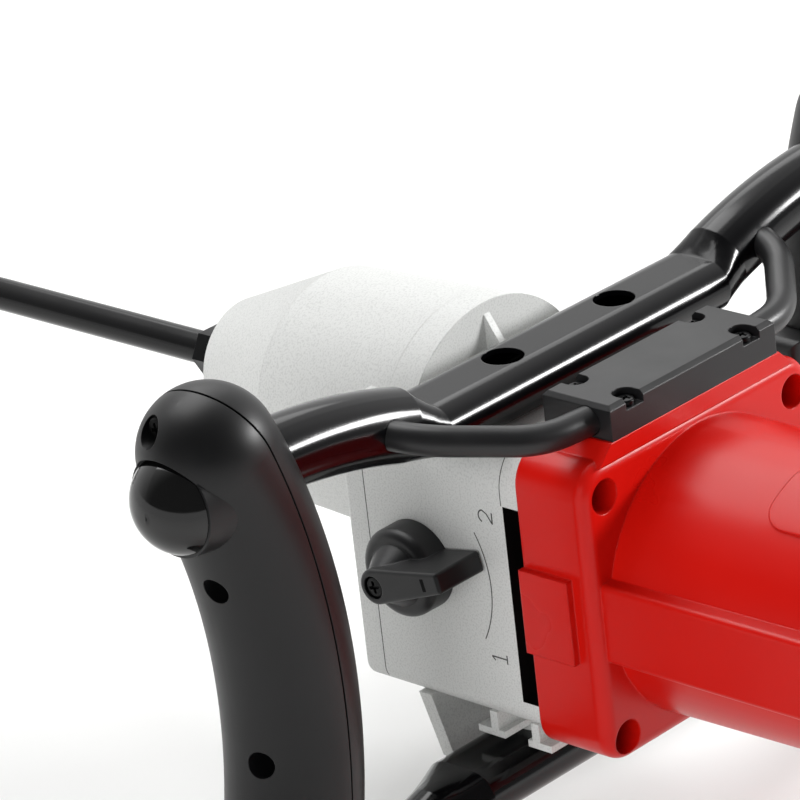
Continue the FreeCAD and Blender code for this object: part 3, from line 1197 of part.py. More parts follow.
def shift_rail():
    held = RAIL_SEAT - RAIL_END_GAP
    return cyl_y(RAIL_R, PLATE_Y1 - held, SEAM_Y + held, (RAIL_X, RAIL_Z))


# Frame pieces

def pressed_outline(x, z, grow):
    """The flattened tube's section at x: two flats joined by half circles, grow mm outside the wall."""
    half = PRESSED_HEIGHT / 2 + grow
    flat = (PRESSED_WIDTH - PRESSED_HEIGHT) / 2
    a = V(x, FRAME_Y - flat, z + half)
    b = V(x, FRAME_Y + flat, z + half)
    c = V(x, FRAME_Y + flat, z - half)
    d = V(x, FRAME_Y - flat, z - half)
    right = V(x, FRAME_Y + flat + half, z)
    left = V(x, FRAME_Y - flat - half, z)
    return Part.Wire([
        Part.LineSegment(a, b).toShape(), Part.Arc(b, right, c).toShape(),
        Part.LineSegment(c, d).toShape(), Part.Arc(d, left, a).toShape(),
    ])


def round_outline(x, z, radius, lean):
    """The round tube's section, split in four arcs that match the flattened section's sides."""
    def point(angle):
        up = radius * math.sin(angle)
        return V(x - up * math.sin(lean), FRAME_Y + radius * math.cos(angle), z + up * math.cos(lean))

    turns = (math.pi - ROUND_SPLIT, ROUND_SPLIT, -ROUND_SPLIT, ROUND_SPLIT - math.pi)
    middles = (math.pi / 2, 0.0, -math.pi / 2, math.pi)
    arcs = []
    for step in range(4):
        end = point(turns[(step + 1) % 4])
        arcs.append(Part.Arc(point(turns[step]), point(middles[step]), end).toShape())
    return Part.Wire(arcs)


def tube_body(grow):
    """The upper tube as a full bar, grow mm outside its outer face: pressed middle, flared round ends."""
    z = FRAME_MID + TUBE_MID_RISE
    radius = TUBE_R + grow
    x1 = PRESSED_HALF_LENGTH
    x2 = x1 + PRESS_RUNOUT
    z2 = z + RUNOUT_RISE
    top = FRAME_MID + TUBE_END_RISE
    x3 = x2 + FLARE_BEND_R * math.sin(FLARE)
    half_turn = FLARE / 2
    middle = V(
        x3 - FLARE_BEND_R * math.sin(half_turn), FRAME_Y, top - FLARE_BEND_R * (1 - math.cos(half_turn)),
    )
    path = Part.Wire([
        Part.Arc(V(x2, FRAME_Y, z2), middle, V(x3, FRAME_Y, top)).toShape(),
        Part.LineSegment(V(x3, FRAME_Y, top), V(TUBE_HALF_LENGTH, FRAME_Y, top)).toShape(),
    ])
    section = round_outline(x2, z2, radius, FLARE)
    arm = path.makePipeShell([section], True, False)
    runout = Part.makeLoft([pressed_outline(x1, z, grow), round_outline(x2, z2, radius, FLARE)], True)
    ends = both_sides(arm) + both_sides(runout)
    flat = Part.Face(pressed_outline(-x1, z, grow)).extrude(V(2 * x1, 0, 0))
    return flat.fuse(ends)


def bare_tube():
    tube = tube_body(0.0).cut(tube_body(-TUBE_WALL))
    top = UPPER_SEAT + PRESSED_HEIGHT
    tools = []
    for x in (-ACCESS_X, ACCESS_X):
        tools.append(cyl_z(ACCESS_R, top - 2 * TUBE_WALL, top + JOIN, x, FRAME_Y))
        tools.append(cyl_z(FRAME_BOLT_R + SEAT, UPPER_SEAT - JOIN, UPPER_SEAT + 2 * TUBE_WALL, x, FRAME_Y))
    return tube.cut(tools)


def upper_frame_tube():
    tube = bare_tube()
    return tube.cut(both_sides(Part.Solid(hose_body(HOSE_R + SEAT))))


def lower_frame_tube():
    return upside_down(bare_tube())


def frame_bolts():
    floor = UPPER_SEAT + TUBE_WALL
    bolts = []
    for x in (-ACCESS_X, ACCESS_X):
        head = cyl_z(BOLT_HEAD_R, floor, floor + BOLT_HEAD_H, x, FRAME_Y)
        shank = cyl_z(FRAME_BOLT_R, UPPER_SEAT - FRAME_BOLT_DEPTH + END_GAP, floor, x, FRAME_Y)
        bolt = head.fuse(shank)
        bolts.append(bolt)
        bolts.append(upside_down(bolt))
    return bolts


def grip_body(radius):
    """The left grip as a full bar: a round section carried along the bow, with half-ball ends."""
    centre = V(-BOW_CENTRE_X, FRAME_Y, GRIP_MID)
    swing = math.degrees(math.asin(GRIP_END_RISE / GRIP_BOW_R))
    disc = Part.Face(Part.Wire(Part.Circle(V(-GRIP_X, FRAME_Y, GRIP_MID), V(0, 0, 1), radius).toShape()))
    disc.rotate(centre, V(0, 1, 0), -swing)
    bar = disc.revolve(centre, V(0, 1, 0), 2 * swing)
    ends = []
    for turn in (-1, 1):
        angle = math.radians(turn * swing)
        middle = V(
            -BOW_CENTRE_X + GRIP_BOW_R * math.cos(angle), FRAME_Y, GRIP_MID + GRIP_BOW_R * math.sin(angle),
        )
        along = V(-turn * math.sin(angle), 0, turn * math.cos(angle))
        ends.append(Part.makeSphere(radius, middle, along, 0, 90, 360))
    return bar.fuse(ends)


def bow_x(rise):
    """The left grip's centre line: its x at a height above the grip's middle."""
    return -BOW_CENTRE_X + math.sqrt(GRIP_BOW_R ** 2 - rise ** 2)


def parting_x(rise):
    """The left grip's parting face: its x at a height above the grip's middle."""
    return -GRIP_X - PARTING_BOW_R + math.sqrt(PARTING_BOW_R ** 2 - rise ** 2)


def parting_side(grow):
    """Everything outside the grip's parting face, a flatter bow than the grip's own and turned a little."""
    reach = 2 * GRIP_R
    centre = V(-GRIP_X - PARTING_BOW_R, FRAME_Y - reach, GRIP_MID)
    tool = Part.makeCylinder(PARTING_BOW_R + grow, 2 * reach, centre, V(0, 1, 0))
    tool.rotate(V(-GRIP_X, FRAME_Y, GRIP_MID), V(0, 0, 1), PARTING_TURN)
    return tool


def grip_halves(screws):
    """The left grip's two shells, split along the bow, with posts for screws and holes for tubes."""
    shell = grip_body(GRIP_R).cut(grip_body(GRIP_R - GRIP_WALL))
    core = grip_body(GRIP_R - GRIP_WALL / 2)
    posts = [
        cyl_x(
            GRIP_POST_R, bow_x(rise) - 2 * GRIP_R, bow_x(rise) + 2 * GRIP_R, FRAME_Y + aside, GRIP_MID + rise,
        ).common(core)
        for rise, aside in screws
    ]
    split = parting_side(0.0)
    bosses = []
    caps = []
    for turn in (-1, 1):
        z = FRAME_MID + turn * TUBE_END_RISE
        root = bow_x(TUBE_END_RISE)
        bosses.append(Part.makeCone(BOSS_ROOT_R, BOSS_R, root + BOSS_X, V(root, FRAME_Y, z), V(-1, 0, 0)))
        caps.append(cyl_x(CAP_R + SLIDE, -BOSS_X - 2 * CAP_HEIGHT, -BOSS_X, FRAME_Y, z))
        caps.append(cyl_x(TUBE_R + SEAT, -BOSS_X, -TUBE_HALF_LENGTH, FRAME_Y, z))
    bosses = [boss.common(split) for boss in bosses]
    filled = shell.fuse(posts)
    tubes = [tube_body(SEAT), upside_down(tube_body(SEAT))]
    groove = grip_body(GRIP_R + GRIP_SEAM_DEPTH).cut(grip_body(GRIP_R - GRIP_SEAM_DEPTH))
    groove = groove.common(parting_side(GRIP_SEAM_W).cut(split))
    outer_tools = tubes + caps
    inner_tools = tubes + [groove]
    for rise, aside in screws:
        y = FRAME_Y + aside
        z = GRIP_MID + rise
        x = bow_x(rise)
        outer_tools.append(cyl_x(GRIP_HOLE_R, x - 3 * GRIP_R, x - GRIP_HOLE_FLOOR, y, z))
        outer_tools.append(cyl_x(GRIP_SCREW_R + SEAT, x - GRIP_HOLE_FLOOR, x + GRIP_R, y, z))
        inner_tools.append(cyl_x(GRIP_SCREW_R, x - GRIP_R, parting_x(rise) + GRIP_SCREW_BITE + SLIDE, y, z))
    outer = filled.common(split).fuse(bosses).cut(outer_tools)
    inner = filled.cut(split).cut(inner_tools)
    return outer, inner


def left_grip_screws(screws):
    made = []
    for rise, aside in screws:
        seat = bow_x(rise) - GRIP_HOLE_FLOOR
        y = FRAME_Y + aside
        z = GRIP_MID + rise
        head = cyl_x(GRIP_SCREW_HEAD_R, seat - GRIP_SCREW_HEAD_H, seat, y, z)
        made.append(head.fuse(cyl_x(GRIP_SCREW_R, seat, parting_x(rise) + GRIP_SCREW_BITE, y, z)))
    return made


def tube_end_caps():
    """Domed plugs in the tube ends: an outline with a round top, spun about the tube's line."""
    z = FRAME_MID + TUBE_END_RISE
    ball = (CAP_R ** 2 + CAP_HEIGHT ** 2) / (2 * CAP_HEIGHT)
    half_way = math.asin(CAP_R / ball) / 2
    spigot_r = TUBE_R - TUBE_WALL - SEAT
    spigot_end = CAP_SPIGOT - BOSS_X

    def point(x, radius):
        return V(x, FRAME_Y, z + radius)

    apex = point(-BOSS_X - CAP_HEIGHT, 0)
    crown = point(-BOSS_X - CAP_HEIGHT + ball * (1 - math.cos(half_way)), ball * math.sin(half_way))
    corners = [
        point(-BOSS_X, CAP_R), point(-BOSS_X, spigot_r), point(spigot_end, spigot_r),
        point(spigot_end, 0), apex,
    ]
    edges = [Part.Arc(apex, crown, corners[0]).toShape()]
    edges += [Part.LineSegment(first, last).toShape() for first, last in zip(corners, corners[1:])]
    cap = Part.Face(Part.Wire(edges)).revolve(point(0, 0), V(1, 0, 0), 360)
    return both_sides(cap) + both_sides(upside_down(cap))


# Junction box and hoses

def hose_body(radius):
    """The left hose as a full bar along straight runs joined by tangent arcs."""
    points = [V(*p) for p in HOSE_POINTS]
    edges = []
    start = points[0]
    for before, corner, after in zip(points, points[1:], points[2:]):
        back = (before - corner).normalize()
        ahead = (after - corner).normalize()
        turn = math.pi - back.getAngle(ahead)
        shorter = min((before - corner).Length, (after - corner).Length)
        reach = HOSE_BEND_SHARE * shorter
        bend_r = reach / math.tan(turn / 2)
        first = corner + back * reach
        last = corner + ahead * reach
        bisector = (back + ahead).normalize()
        middle = corner + bisector * (bend_r / math.cos(turn / 2) - bend_r)
        edges.append(Part.LineSegment(start, first).toShape())
        edges.append(Part.Arc(first, middle, last).toShape())
        start = last
    edges.append(Part.LineSegment(start, points[-1]).toShape())
    path = Part.Wire(edges)
    section = Part.Wire(Part.Circle(points[0], points[1] - points[0], radius).toShape())
    return path.makePipeShell([section], True, False)


def left_hose():
    return hose_body(HOSE_R).cut(hose_body(HOSE_BORE_R))


def junction_box():
    block = box(-BOX_HALF_WIDTH, BOX_HALF_WIDTH, BOX_BACK_Y, BOX_FRONT_Y, BOX_BOTTOM, BOX_TOP)
    upper = [e for e in block.Edges if e.BoundBox.ZMin > BOX_TOP - 0.5]
    block = block.makeChamfer(BOX_CHAMFER, upper)
    hollow = box(
        -BOX_HALF_WIDTH + BOX_WALL, BOX_HALF_WIDTH - BOX_WALL,
        BOX_BACK_Y + BOX_END_WALL, BOX_FRONT_Y - BOX_END_WALL, BOX_BOTTOM, BOX_TOP - BOX_WALL,
    )
    tools = [hollow] + both_sides(hose_body(HOSE_R + SEAT))
    for x in (-BOX_SCREW_X, BOX_SCREW_X):
        for y, outward in ((BOX_BACK_Y + BOX_SCREW_IN, -1), (BOX_FRONT_Y - BOX_SCREW_IN, 1)):
            floor = BOX_TOP - BOX_NOTCH_DEPTH
            tools.append(cyl_z(BOX_NOTCH_R, floor, BOX_TOP, x, y))
            edge = y + outward * 2 * BOX_NOTCH_R
            tools.append(box(
                x - BOX_NOTCH_R, x + BOX_NOTCH_R, min(y, edge), max(y, edge), floor, BOX_TOP,
            ))
            tools.append(cyl_z(BOX_SCREW_R + SEAT, BOX_BOTTOM, floor, x, y))
    return block.cut(tools)


def junction_box_screws():
    floor = BOX_TOP - BOX_NOTCH_DEPTH
    end = BOX_BOTTOM - BOX_SCREW_DEPTH + END_GAP
    screws = []
    for x in (-BOX_SCREW_X, BOX_SCREW_X):
        for y in (BOX_BACK_Y + BOX_SCREW_IN, BOX_FRONT_Y - BOX_SCREW_IN):
            head = cyl_z(BOX_SCREW_HEAD_R, floor, floor + BOX_SCREW_HEAD_H, x, y)
            screws.append(head.fuse(cyl_z(BOX_SCREW_R, end, floor, x, y)))
    return screws


def terminal_block():
    middle = (BOX_BACK_Y + BOX_FRONT_Y) / 2
    top = BOX_BOTTOM + TERMINAL_HEIGHT
    base = box(
        -TERMINAL_HALF_LENGTH, TERMINAL_HALF_LENGTH,
        middle - TERMINAL_HALF_WIDTH, middle + TERMINAL_HALF_WIDTH, BOX_BOTTOM, top,
    )
    floor = BOX_BOTTOM + TERMINAL_FLOOR
    return base.cut([cyl_z(TERMINAL_HOLE_R, floor, top, x, middle) for x in TERMINAL_HOLES])


# Switch pieces, in the right grip

INNER_FACE_X = GRIP_X - GRIP_R
INNER_WALL_X = GRIP_X - GRIP_R + GRIP_WALL
TRIGGER_FLANGE_X = INNER_WALL_X + TRIGGER_FLANGE_IN
LOCK_X = GRIP_X - LOCK_INSET
LOCK_Z = TRIGGER_Z + LOCK_HEIGHT
LOCK_FACE_Y = FRAME_Y - math.sqrt(GRIP_R ** 2 - LOCK_INSET ** 2)


def right_grip_cuts():
    """The trigger's slot, the lock button's hole and the cord inlet's seat."""
    slot = box(
        INNER_FACE_X - TRIGGER_SLOT_REACH, INNER_WALL_X + TRIGGER_SLOT_REACH,
        FRAME_Y - TRIGGER_HALF_WIDTH - SLIDE, FRAME_Y + TRIGGER_HALF_WIDTH + SLIDE,
        TRIGGER_Z - TRIGGER_HEIGHT / 2 - SLIDE, TRIGGER_Z + TRIGGER_HEIGHT / 2 + SLIDE,
    )
    hole = Part.makeCylinder(
        LOCK_R + SLIDE, GRIP_R, V(LOCK_X, LOCK_FACE_Y - LOCK_RISE, LOCK_Z), V(0, 1, 0),
    )
    return [slot, hole]


def gland_frame():
    """Where the cord inlet leaves the right grip's top end, and which way it points."""
    angle = math.asin(GRIP_END_RISE / GRIP_BOW_R)
    middle = V(
        BOW_CENTRE_X - GRIP_BOW_R * math.cos(angle), FRAME_Y, GRIP_MID + GRIP_BOW_R * math.sin(angle),
    )
    along = V(math.sin(angle), 0, math.cos(angle))
    return middle, along


def gland_cut():
    middle, along = gland_frame()
    return Part.makeCylinder(GLAND_R + SEAT, 2 * GRIP_R, middle + along * (GRIP_R - GLAND_DEPTH), along)


def cord_gland():
    middle, along = gland_frame()
    start = middle + along * (GRIP_R - GLAND_DEPTH)
    barrel = Part.makeCylinder(GLAND_R, GLAND_LENGTH, start, along)
    bore = Part.makeCylinder(GLAND_BORE_R, GLAND_LENGTH, start, along)
    rim = [e for e in barrel.Edges if (e.CenterOfMass - start).dot(along) > GLAND_LENGTH - 0.1]
    return barrel.makeFillet(GLAND_EDGE, rim).cut(bore)


def trigger():
    half = TRIGGER_HEIGHT / 2
    y0 = FRAME_Y - TRIGGER_HALF_WIDTH
    y1 = FRAME_Y + TRIGGER_HALF_WIDTH
    face_x = INNER_FACE_X - TRIGGER_REACH
    bar = box(face_x, INNER_WALL_X + TRIGGER_ROOT, y0, y1, TRIGGER_Z - half, TRIGGER_Z + half)
    front = [e for e in bar.Edges if e.BoundBox.XMax < face_x + 0.1]
    bar = bar.makeFillet(TRIGGER_EDGE, front)
    dent_x = face_x + TRIGGER_DENT - TRIGGER_DENT_R
    dent = cyl_y(TRIGGER_DENT_R, FRAME_Y - GRIP_R, FRAME_Y + GRIP_R, (dent_x, TRIGGER_Z))
    flange_x = TRIGGER_FLANGE_X
    flange = box(
        flange_x, flange_x + TRIGGER_FLANGE, y0 - TRIGGER_FLANGE_LIP, y1 + TRIGGER_FLANGE_LIP,
        TRIGGER_Z - half, TRIGGER_Z + half,
    )
    stem = box(INNER_WALL_X, flange_x + JOIN, y0, y1, TRIGGER_Z - half + JOIN, TRIGGER_Z + half - JOIN)
    return bar.cut(dent).fuse([stem, flange])


def switch_body():
    room = grip_body(GRIP_R - GRIP_WALL - SLIDE).mirror(V(0, 0, 0), V(1, 0, 0))
    face = TRIGGER_FLANGE_X + TRIGGER_FLANGE + TRIGGER_TRAVEL + SLIDE
    body = box(
        face, GRIP_X + 2 * GRIP_R, FRAME_Y - SWITCH_HALF_WIDTH, FRAME_Y + SWITCH_HALF_WIDTH,
        TRIGGER_Z - SWITCH_HEIGHT / 2, TRIGGER_Z + SWITCH_HEIGHT / 2,
    )
    return body.common(room)


def lock_button():
    button = Part.makeCylinder(LOCK_R, LOCK_LENGTH, V(LOCK_X, LOCK_FACE_Y - LOCK_RISE, LOCK_Z), V(0, 1, 0))
    rim = [e for e in button.Edges if e.BoundBox.YMax < LOCK_FACE_Y - LOCK_RISE + 0.1]
    return button.makeFillet(LOCK_EDGE, rim)


# Paddle pieces

def paddle_rod():
    rod = cyl_y(ROD_R, COLLAR_FRONT_Y - ROD_DEPTH + END_GAP, PADDLE_TIP_Y)
    tip = [e for e in rod.Edges if e.BoundBox.YMin > PADDLE_TIP_Y - 0.1]
    return rod.makeFillet(ROD_EDGE, tip)


def blade_section(y, angle):
    inner = PADDLE_R - BLADE_WIDTH
    half = BLADE_THICK / 2
    corners = []
    for r, t in ((inner, -half), (PADDLE_R, -half), (PADDLE_R, half), (inner, half)):
        x = r * math.cos(angle) - t * math.sin(angle)
        z = r * math.sin(angle) + t * math.cos(angle)
        corners.append(V(x, y, z))
    return Part.makePolygon(corners + corners[:1])


def paddle_blades():
    y0 = PADDLE_TOP_Y + RING_HEIGHT
    y1 = PADDLE_TIP_Y - RING_HEIGHT
    blades = []
    for start in (0.0, math.pi):
        sections = []
        for step in range(BLADE_STATIONS):
            share = step / (BLADE_STATIONS - 1)
            sections.append(blade_section(y0 + share * (y1 - y0), start + share * BLADE_TWIST))
        blades.append(Part.makeLoft(sections, True, False))
    return blades


def spokes(y0, y1, reach):
    bar = box(-reach, reach, y0, y1, -SPOKE_WIDTH / 2, SPOKE_WIDTH / 2)
    hub = cyl_y(PADDLE_HUB_R, y0, y1)
    return bar.fuse(hub)


def paddle_top_arms():
    y1 = PADDLE_TOP_Y + RING_HEIGHT
    return spokes(PADDLE_TOP_Y, y1, PADDLE_R).cut(cyl_y(ROD_R, PADDLE_TOP_Y, y1))


def paddle_ring():
    y0 = PADDLE_TIP_Y - RING_HEIGHT
    ring = ring_y(PADDLE_R, PADDLE_R - RING_WALL, y0, PADDLE_TIP_Y)
    cross = spokes(y0, PADDLE_TIP_Y, PADDLE_R - RING_WALL / 2)
    return ring.fuse(cross).cut(cyl_y(ROD_R, y0, PADDLE_TIP_Y))


def build():
    switch_room = SWITCH_HEIGHT / 2 + GRIP_POST_R
    right_screws = [s for s in GRIP_SCREWS if abs(s[0]) > switch_room and s[0] < GRIP_END_RISE]
    left_outer, left_inner = grip_halves(GRIP_SCREWS)
    mirror_outer, mirror_inner = grip_halves(right_screws)
    right_outer = mirror_outer.mirror(V(0, 0, 0), V(1, 0, 0)).cut(gland_cut())
    right_inner = mirror_inner.mirror(V(0, 0, 0), V(1, 0, 0)).cut(right_grip_cuts() + [gland_cut()])
    right_set = [s.mirror(V(0, 0, 0), V(1, 0, 0)) for s in left_grip_screws(right_screws)]
    hoses = both_sides(left_hose())
    return {
        "motor_housing": motor_housing(),
        "motor_screws": motor_screws(),
        "motor_rear_cover": motor_rear_cover(),
        "rear_cover_screws": rear_cover_screws(),
        "brush_caps": brush_caps(),
        "brush_holders": brush_holders(),
        "carbon_brushes": carbon_brushes(),
        "stator_core": stator_core(),
        "field_coils": field_coils(),
        "armature_shaft": armature_shaft(),
        "armature_core": armature_core(),
        "armature_windings": armature_windings(),
        "commutator": commutator(),
        "cooling_fan": cooling_fan(),
        "armature_bearings": armature_bearings(),
        "gearbox_housing": gearbox_housing(),
        "gearbox_front_cover": gearbox_front_cover(),
        "gearbox_cover_screws": gearbox_cover_screws(),
        "spindle_nose": spindle_nose(),
        "bearing_plate": bearing_plate(),
        "layshaft_bearings": layshaft_bearings(),
        "clutch_shaft_bearings": clutch_shaft_bearings(),
        "spindle_bearings": spindle_bearings(),
        "spindle_seal": spindle_seal(),
        "layshaft": layshaft(),
        "layshaft_drive_gear": layshaft_drive_gear(),
        "low_speed_gear": low_speed_gear(),
        "high_speed_gear": high_speed_gear(),
        "clutch_shaft": clutch_shaft(),
        "shift_sleeve": shift_sleeve(),
        "output_gear": output_gear(),
        "spindle": spindle(),
        "selector_knob": selector_knob(),
        "selector_screw": selector_screw(),
        "selector_shaft": selector_shaft(),
        "shift_fork": shift_fork(),
        "shift_rail": shift_rail(),
        "upper_frame_tube": upper_frame_tube(),
        "lower_frame_tube": lower_frame_tube(),
        "frame_bolts": frame_bolts(),
        "left_grip_outer": left_outer,
        "left_grip_inner": left_inner,
        "right_grip_outer": right_outer,
        "right_grip_inner": right_inner,
        "grip_screws": left_grip_screws(GRIP_SCREWS) + right_set,
        "tube_end_caps": tube_end_caps(),
        "junction_box": junction_box(),
        "junction_box_screws": junction_box_screws(),
        "terminal_block": terminal_block(),
        "left_hose": hoses[0],
        "right_hose": hoses[1],
        "trigger": trigger(),
        "switch_body": switch_body(),
        "lock_button": lock_button(),
        "cord_gland": cord_gland(),
        "paddle_rod": paddle_rod(),
        "paddle_top_arms": paddle_top_arms(),
        "paddle_blades": paddle_blades(),
        "paddle_ring": paddle_ring(),
    }


os.makedirs("parts", exist_ok=True)
for name, shape in build().items():
    if isinstance(shape, list):
        shape = Part.makeCompound(shape)
    shape.exportStep(os.path.join("parts", name + ".step"))
    print(name, len(shape.Solids), "solids", round(shape.Volume / 1000.0, 2), "cm3", shape.isValid())
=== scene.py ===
# %% [markdown]
# A mixing drill, dressed for a picture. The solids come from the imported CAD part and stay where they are.
# This lesson gives each of them a finish, swaps the plain screws for screws with real recesses, and adds the
# small marks that a casting carries. The parts could be imported and painted by hand, but code keeps every
# choice in one place to read and change.

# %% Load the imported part
import math

import bmesh
import bpy
import numpy as np
from mathutils import Matrix, Vector


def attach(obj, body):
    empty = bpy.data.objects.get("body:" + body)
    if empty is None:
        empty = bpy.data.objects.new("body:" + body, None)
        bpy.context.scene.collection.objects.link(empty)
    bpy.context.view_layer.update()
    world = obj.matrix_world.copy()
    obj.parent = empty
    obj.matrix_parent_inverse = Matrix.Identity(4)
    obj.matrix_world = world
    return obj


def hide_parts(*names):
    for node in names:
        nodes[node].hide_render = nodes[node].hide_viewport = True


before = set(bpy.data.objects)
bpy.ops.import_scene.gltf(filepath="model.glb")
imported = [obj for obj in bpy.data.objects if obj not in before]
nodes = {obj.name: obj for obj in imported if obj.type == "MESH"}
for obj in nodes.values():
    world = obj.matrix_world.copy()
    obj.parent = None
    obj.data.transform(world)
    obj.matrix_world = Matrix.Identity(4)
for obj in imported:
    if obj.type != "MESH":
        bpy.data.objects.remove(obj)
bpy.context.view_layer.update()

MM = 0.001

# %% [markdown]
# The camera stands behind the motor's left shoulder, far away with a long lens, so lines stay almost
# parallel. A camera can be aimed with a constraint, or its three axes can be written down. Here the axes are
# known, so they go straight into its matrix: right, up, and back.

# %% Camera
CAMERA_AT = (-1.16880, -1.14620, 0.70297)
CAMERA_RIGHT = (0.67835, -0.72695, -0.10670)
CAMERA_UP = (0.35217, 0.19425, 0.91556)
CAMERA_BACK = (-0.64484, -0.65864, 0.38778)
LENS_MM = 228.33
SENSOR_MM = 36.0
CLIP_NEAR_M = 0.05
CLIP_FAR_M = 100.0

camera_data = bpy.data.cameras.new("long_lens")
camera_data.lens = LENS_MM
camera_data.sensor_width = SENSOR_MM
camera_data.clip_start = CLIP_NEAR_M
camera_data.clip_end = CLIP_FAR_M
camera = bpy.data.objects.new("camera", camera_data)
bpy.context.scene.collection.objects.link(camera)
camera.matrix_world = Matrix((CAMERA_RIGHT, CAMERA_UP, CAMERA_BACK)).transposed().to_4x4()
camera.matrix_world.translation = CAMERA_AT
bpy.context.scene.camera = camera
bpy.context.scene.view_settings.view_transform = "Standard"
print("camera at", CAMERA_AT, "lens", LENS_MM, "mm")

# %% [markdown]
# Shader nodes are quick to wire by hand, but a picture of wires can't be read in a script. One small function
# adds a node, sets it and links it, so a finish reads as a short list from pattern to shader. Colours are
# written as the hex values that a paint chart gives, and one function makes them linear.

# %% Colour and node helpers
PAPER = "#f6f6f5"


def linear(hex_code):
    """sRGB hex to linear RGBA: c / 12.92 below 0.04045, else ((c + 0.055) / 1.055) to the power 2.4."""
    code = hex_code.lstrip("#")
    channels = np.array([int(code[i:i + 2], 16) for i in (0, 2, 4)]) / 255.0
    curve = np.where(channels <= 0.04045, channels / 12.92, ((channels + 0.055) / 1.055) ** 2.4)
    return (*(float(c) for c in curve), 1.0)


def add(tree, kind, settings=None, inputs=None):
    """Adds one shader node. Inputs are given by name or number, as a value or as another node's output."""
    node = tree.nodes.new("ShaderNode" + kind)
    for name, value in (settings or {}).items():
        setattr(node, name, value)
    for name, value in (inputs or {}).items():
        socket = node.inputs[name]
        if isinstance(value, bpy.types.NodeSocket):
            tree.links.new(value, socket)
        else:
            socket.default_value = value
    return node


def colour_out(node):
    """The colour output of a node that also has outputs for other kinds of value."""
    return next(socket for socket in node.outputs if socket.type == "RGBA")


def found(tree, kind):
    """The first node of a kind in a tree."""
    return next(node for node in tree.nodes if node.type == kind)


def new_material(name):
    """An empty material with its output node, ready for a shader."""
    material = bpy.data.materials.new(name)
    material.use_nodes = True
    material.node_tree.nodes.clear()
    return material, material.node_tree, add(material.node_tree, "OutputMaterial")


print("paper as linear", [round(c, 3) for c in linear(PAPER)])

# %% [markdown]
# Every new shape is one or more grids of points, worked out with numpy and joined into faces.
# Faces could be drawn one by one in a modelling window, but a grid follows its formula exactly.

# %% Mesh from grids
WELD_M = 1e-7
CREASE = math.radians(35)


def grid_mesh(name, grids, sharp=CREASE):
    """A mesh from grids of points (rows, columns, 3). Each cell is a face; the last column meets the first."""
    points, faces, start = [], [], 0
    for grid in grids:
        rows, columns = grid.shape[:2]
        index = np.arange(rows * columns).reshape(rows, columns) + start
        index = np.concatenate([index, index[:, :1]], axis=1)
        cells = np.stack([index[:-1, :-1], index[:-1, 1:], index[1:, 1:], index[1:, :-1]], axis=-1)
        points.append(grid.reshape(-1, 3))
        faces.append(cells.reshape(-1, 4))
        start += rows * columns
    mesh = bpy.data.meshes.new(name)
    mesh.from_pydata(np.concatenate(points).tolist(), [], np.concatenate(faces).tolist())
    shell = bmesh.new()
    shell.from_mesh(mesh)
    bmesh.ops.remove_doubles(shell, verts=shell.verts, dist=WELD_M)
    bmesh.ops.dissolve_degenerate(shell, edges=shell.edges, dist=WELD_M)
    bmesh.ops.recalc_face_normals(shell, faces=shell.faces)
    shell.to_mesh(mesh)
    shell.free()
    mesh.shade_smooth()
    mesh.set_sharp_from_angle(angle=sharp)
    piece = bpy.data.objects.new(name, mesh)
    bpy.context.scene.collection.objects.link(piece)
    return piece


print("edges stay sharp above", round(math.degrees(CREASE)), "degrees")

# %% [markdown]
# The drill lies on its two grips and on the paddle's ring, so the floor leans a little against the CAD axes.
# The lean could be measured by eye. It is solved here: a plane under the grips and a plane under the ring
# have to be the same plane, and halving an interval finds the slope where they meet.

# %% Where the floor lies
MOST_SLOPE = 0.5
HALVINGS = 40


def corner_points(*names):
    """All corners of the named CAD nodes as one array of rows."""
    clouds = []
    for name in names:
        cloud = np.zeros(len(nodes[name].data.vertices) * 3, np.float32)
        nodes[name].data.vertices.foreach_get("co", cloud)
        clouds.append(cloud.reshape(-1, 3))
    return np.concatenate(clouds).astype(float)


grip_cloud = corner_points("left_grip_outer", "left_grip_inner", "right_grip_outer", "right_grip_inner")
ring_cloud = corner_points("paddle_ring", "paddle_blades")
low_slope, high_slope = 0.0, MOST_SLOPE
for _ in range(HALVINGS):
    slope = (low_slope + high_slope) / 2
    grip_low = (grip_cloud[:, 2] - slope * grip_cloud[:, 1]).min()
    ring_low = (ring_cloud[:, 2] - slope * ring_cloud[:, 1]).min()
    low_slope, high_slope = (slope, high_slope) if ring_low > grip_low else (low_slope, slope)
print("floor slope", round(math.degrees(math.atan(slope)), 2), "degrees")

# %% [markdown]
# The floor is a disc on that plane, made of rings and spokes, and its rim lies far outside the picture.
# A square would do as well, but rings that widen outwards keep the faces small where the drill lies.

# %% Floor
FLOOR_FIRST_RING_M = 0.2
FLOOR_RIM_M = 40.0
FLOOR_RINGS = 24
FLOOR_SPOKES = 96
FLOOR_MIDDLE_Y = 0.15


def floor_points():
    """A disc on the plane z = slope * y + grip_low: x = r cos(t), y = r sin(t) + middle, for r and t."""
    ring = np.concatenate([[0.0], np.geomspace(FLOOR_FIRST_RING_M, FLOOR_RIM_M, FLOOR_RINGS)])[:, None]
    turn = np.linspace(0, 2 * math.pi, FLOOR_SPOKES, endpoint=False)
    x = ring * np.cos(turn)
    y = ring * np.sin(turn) + FLOOR_MIDDLE_Y
    return np.stack([x, y, slope * y + grip_low], axis=-1)


floor = grid_mesh("floor", [floor_points()])
print("floor", len(floor.data.polygons), "faces")

# %% [markdown]
# A white studio floor is pale paper. Near the drill it has to stay a plain matt surface, so that it keeps the
# shadow; far away it may simply be white to the eye. More light would burn out the drill's own pale metal,
# so the far floor is white only for rays from the camera and for reflections, and gives the drill no light.
# The near paper throws back less light than it shows, as grey cards laid under a tool do, so the drill's
# underside stays dark.

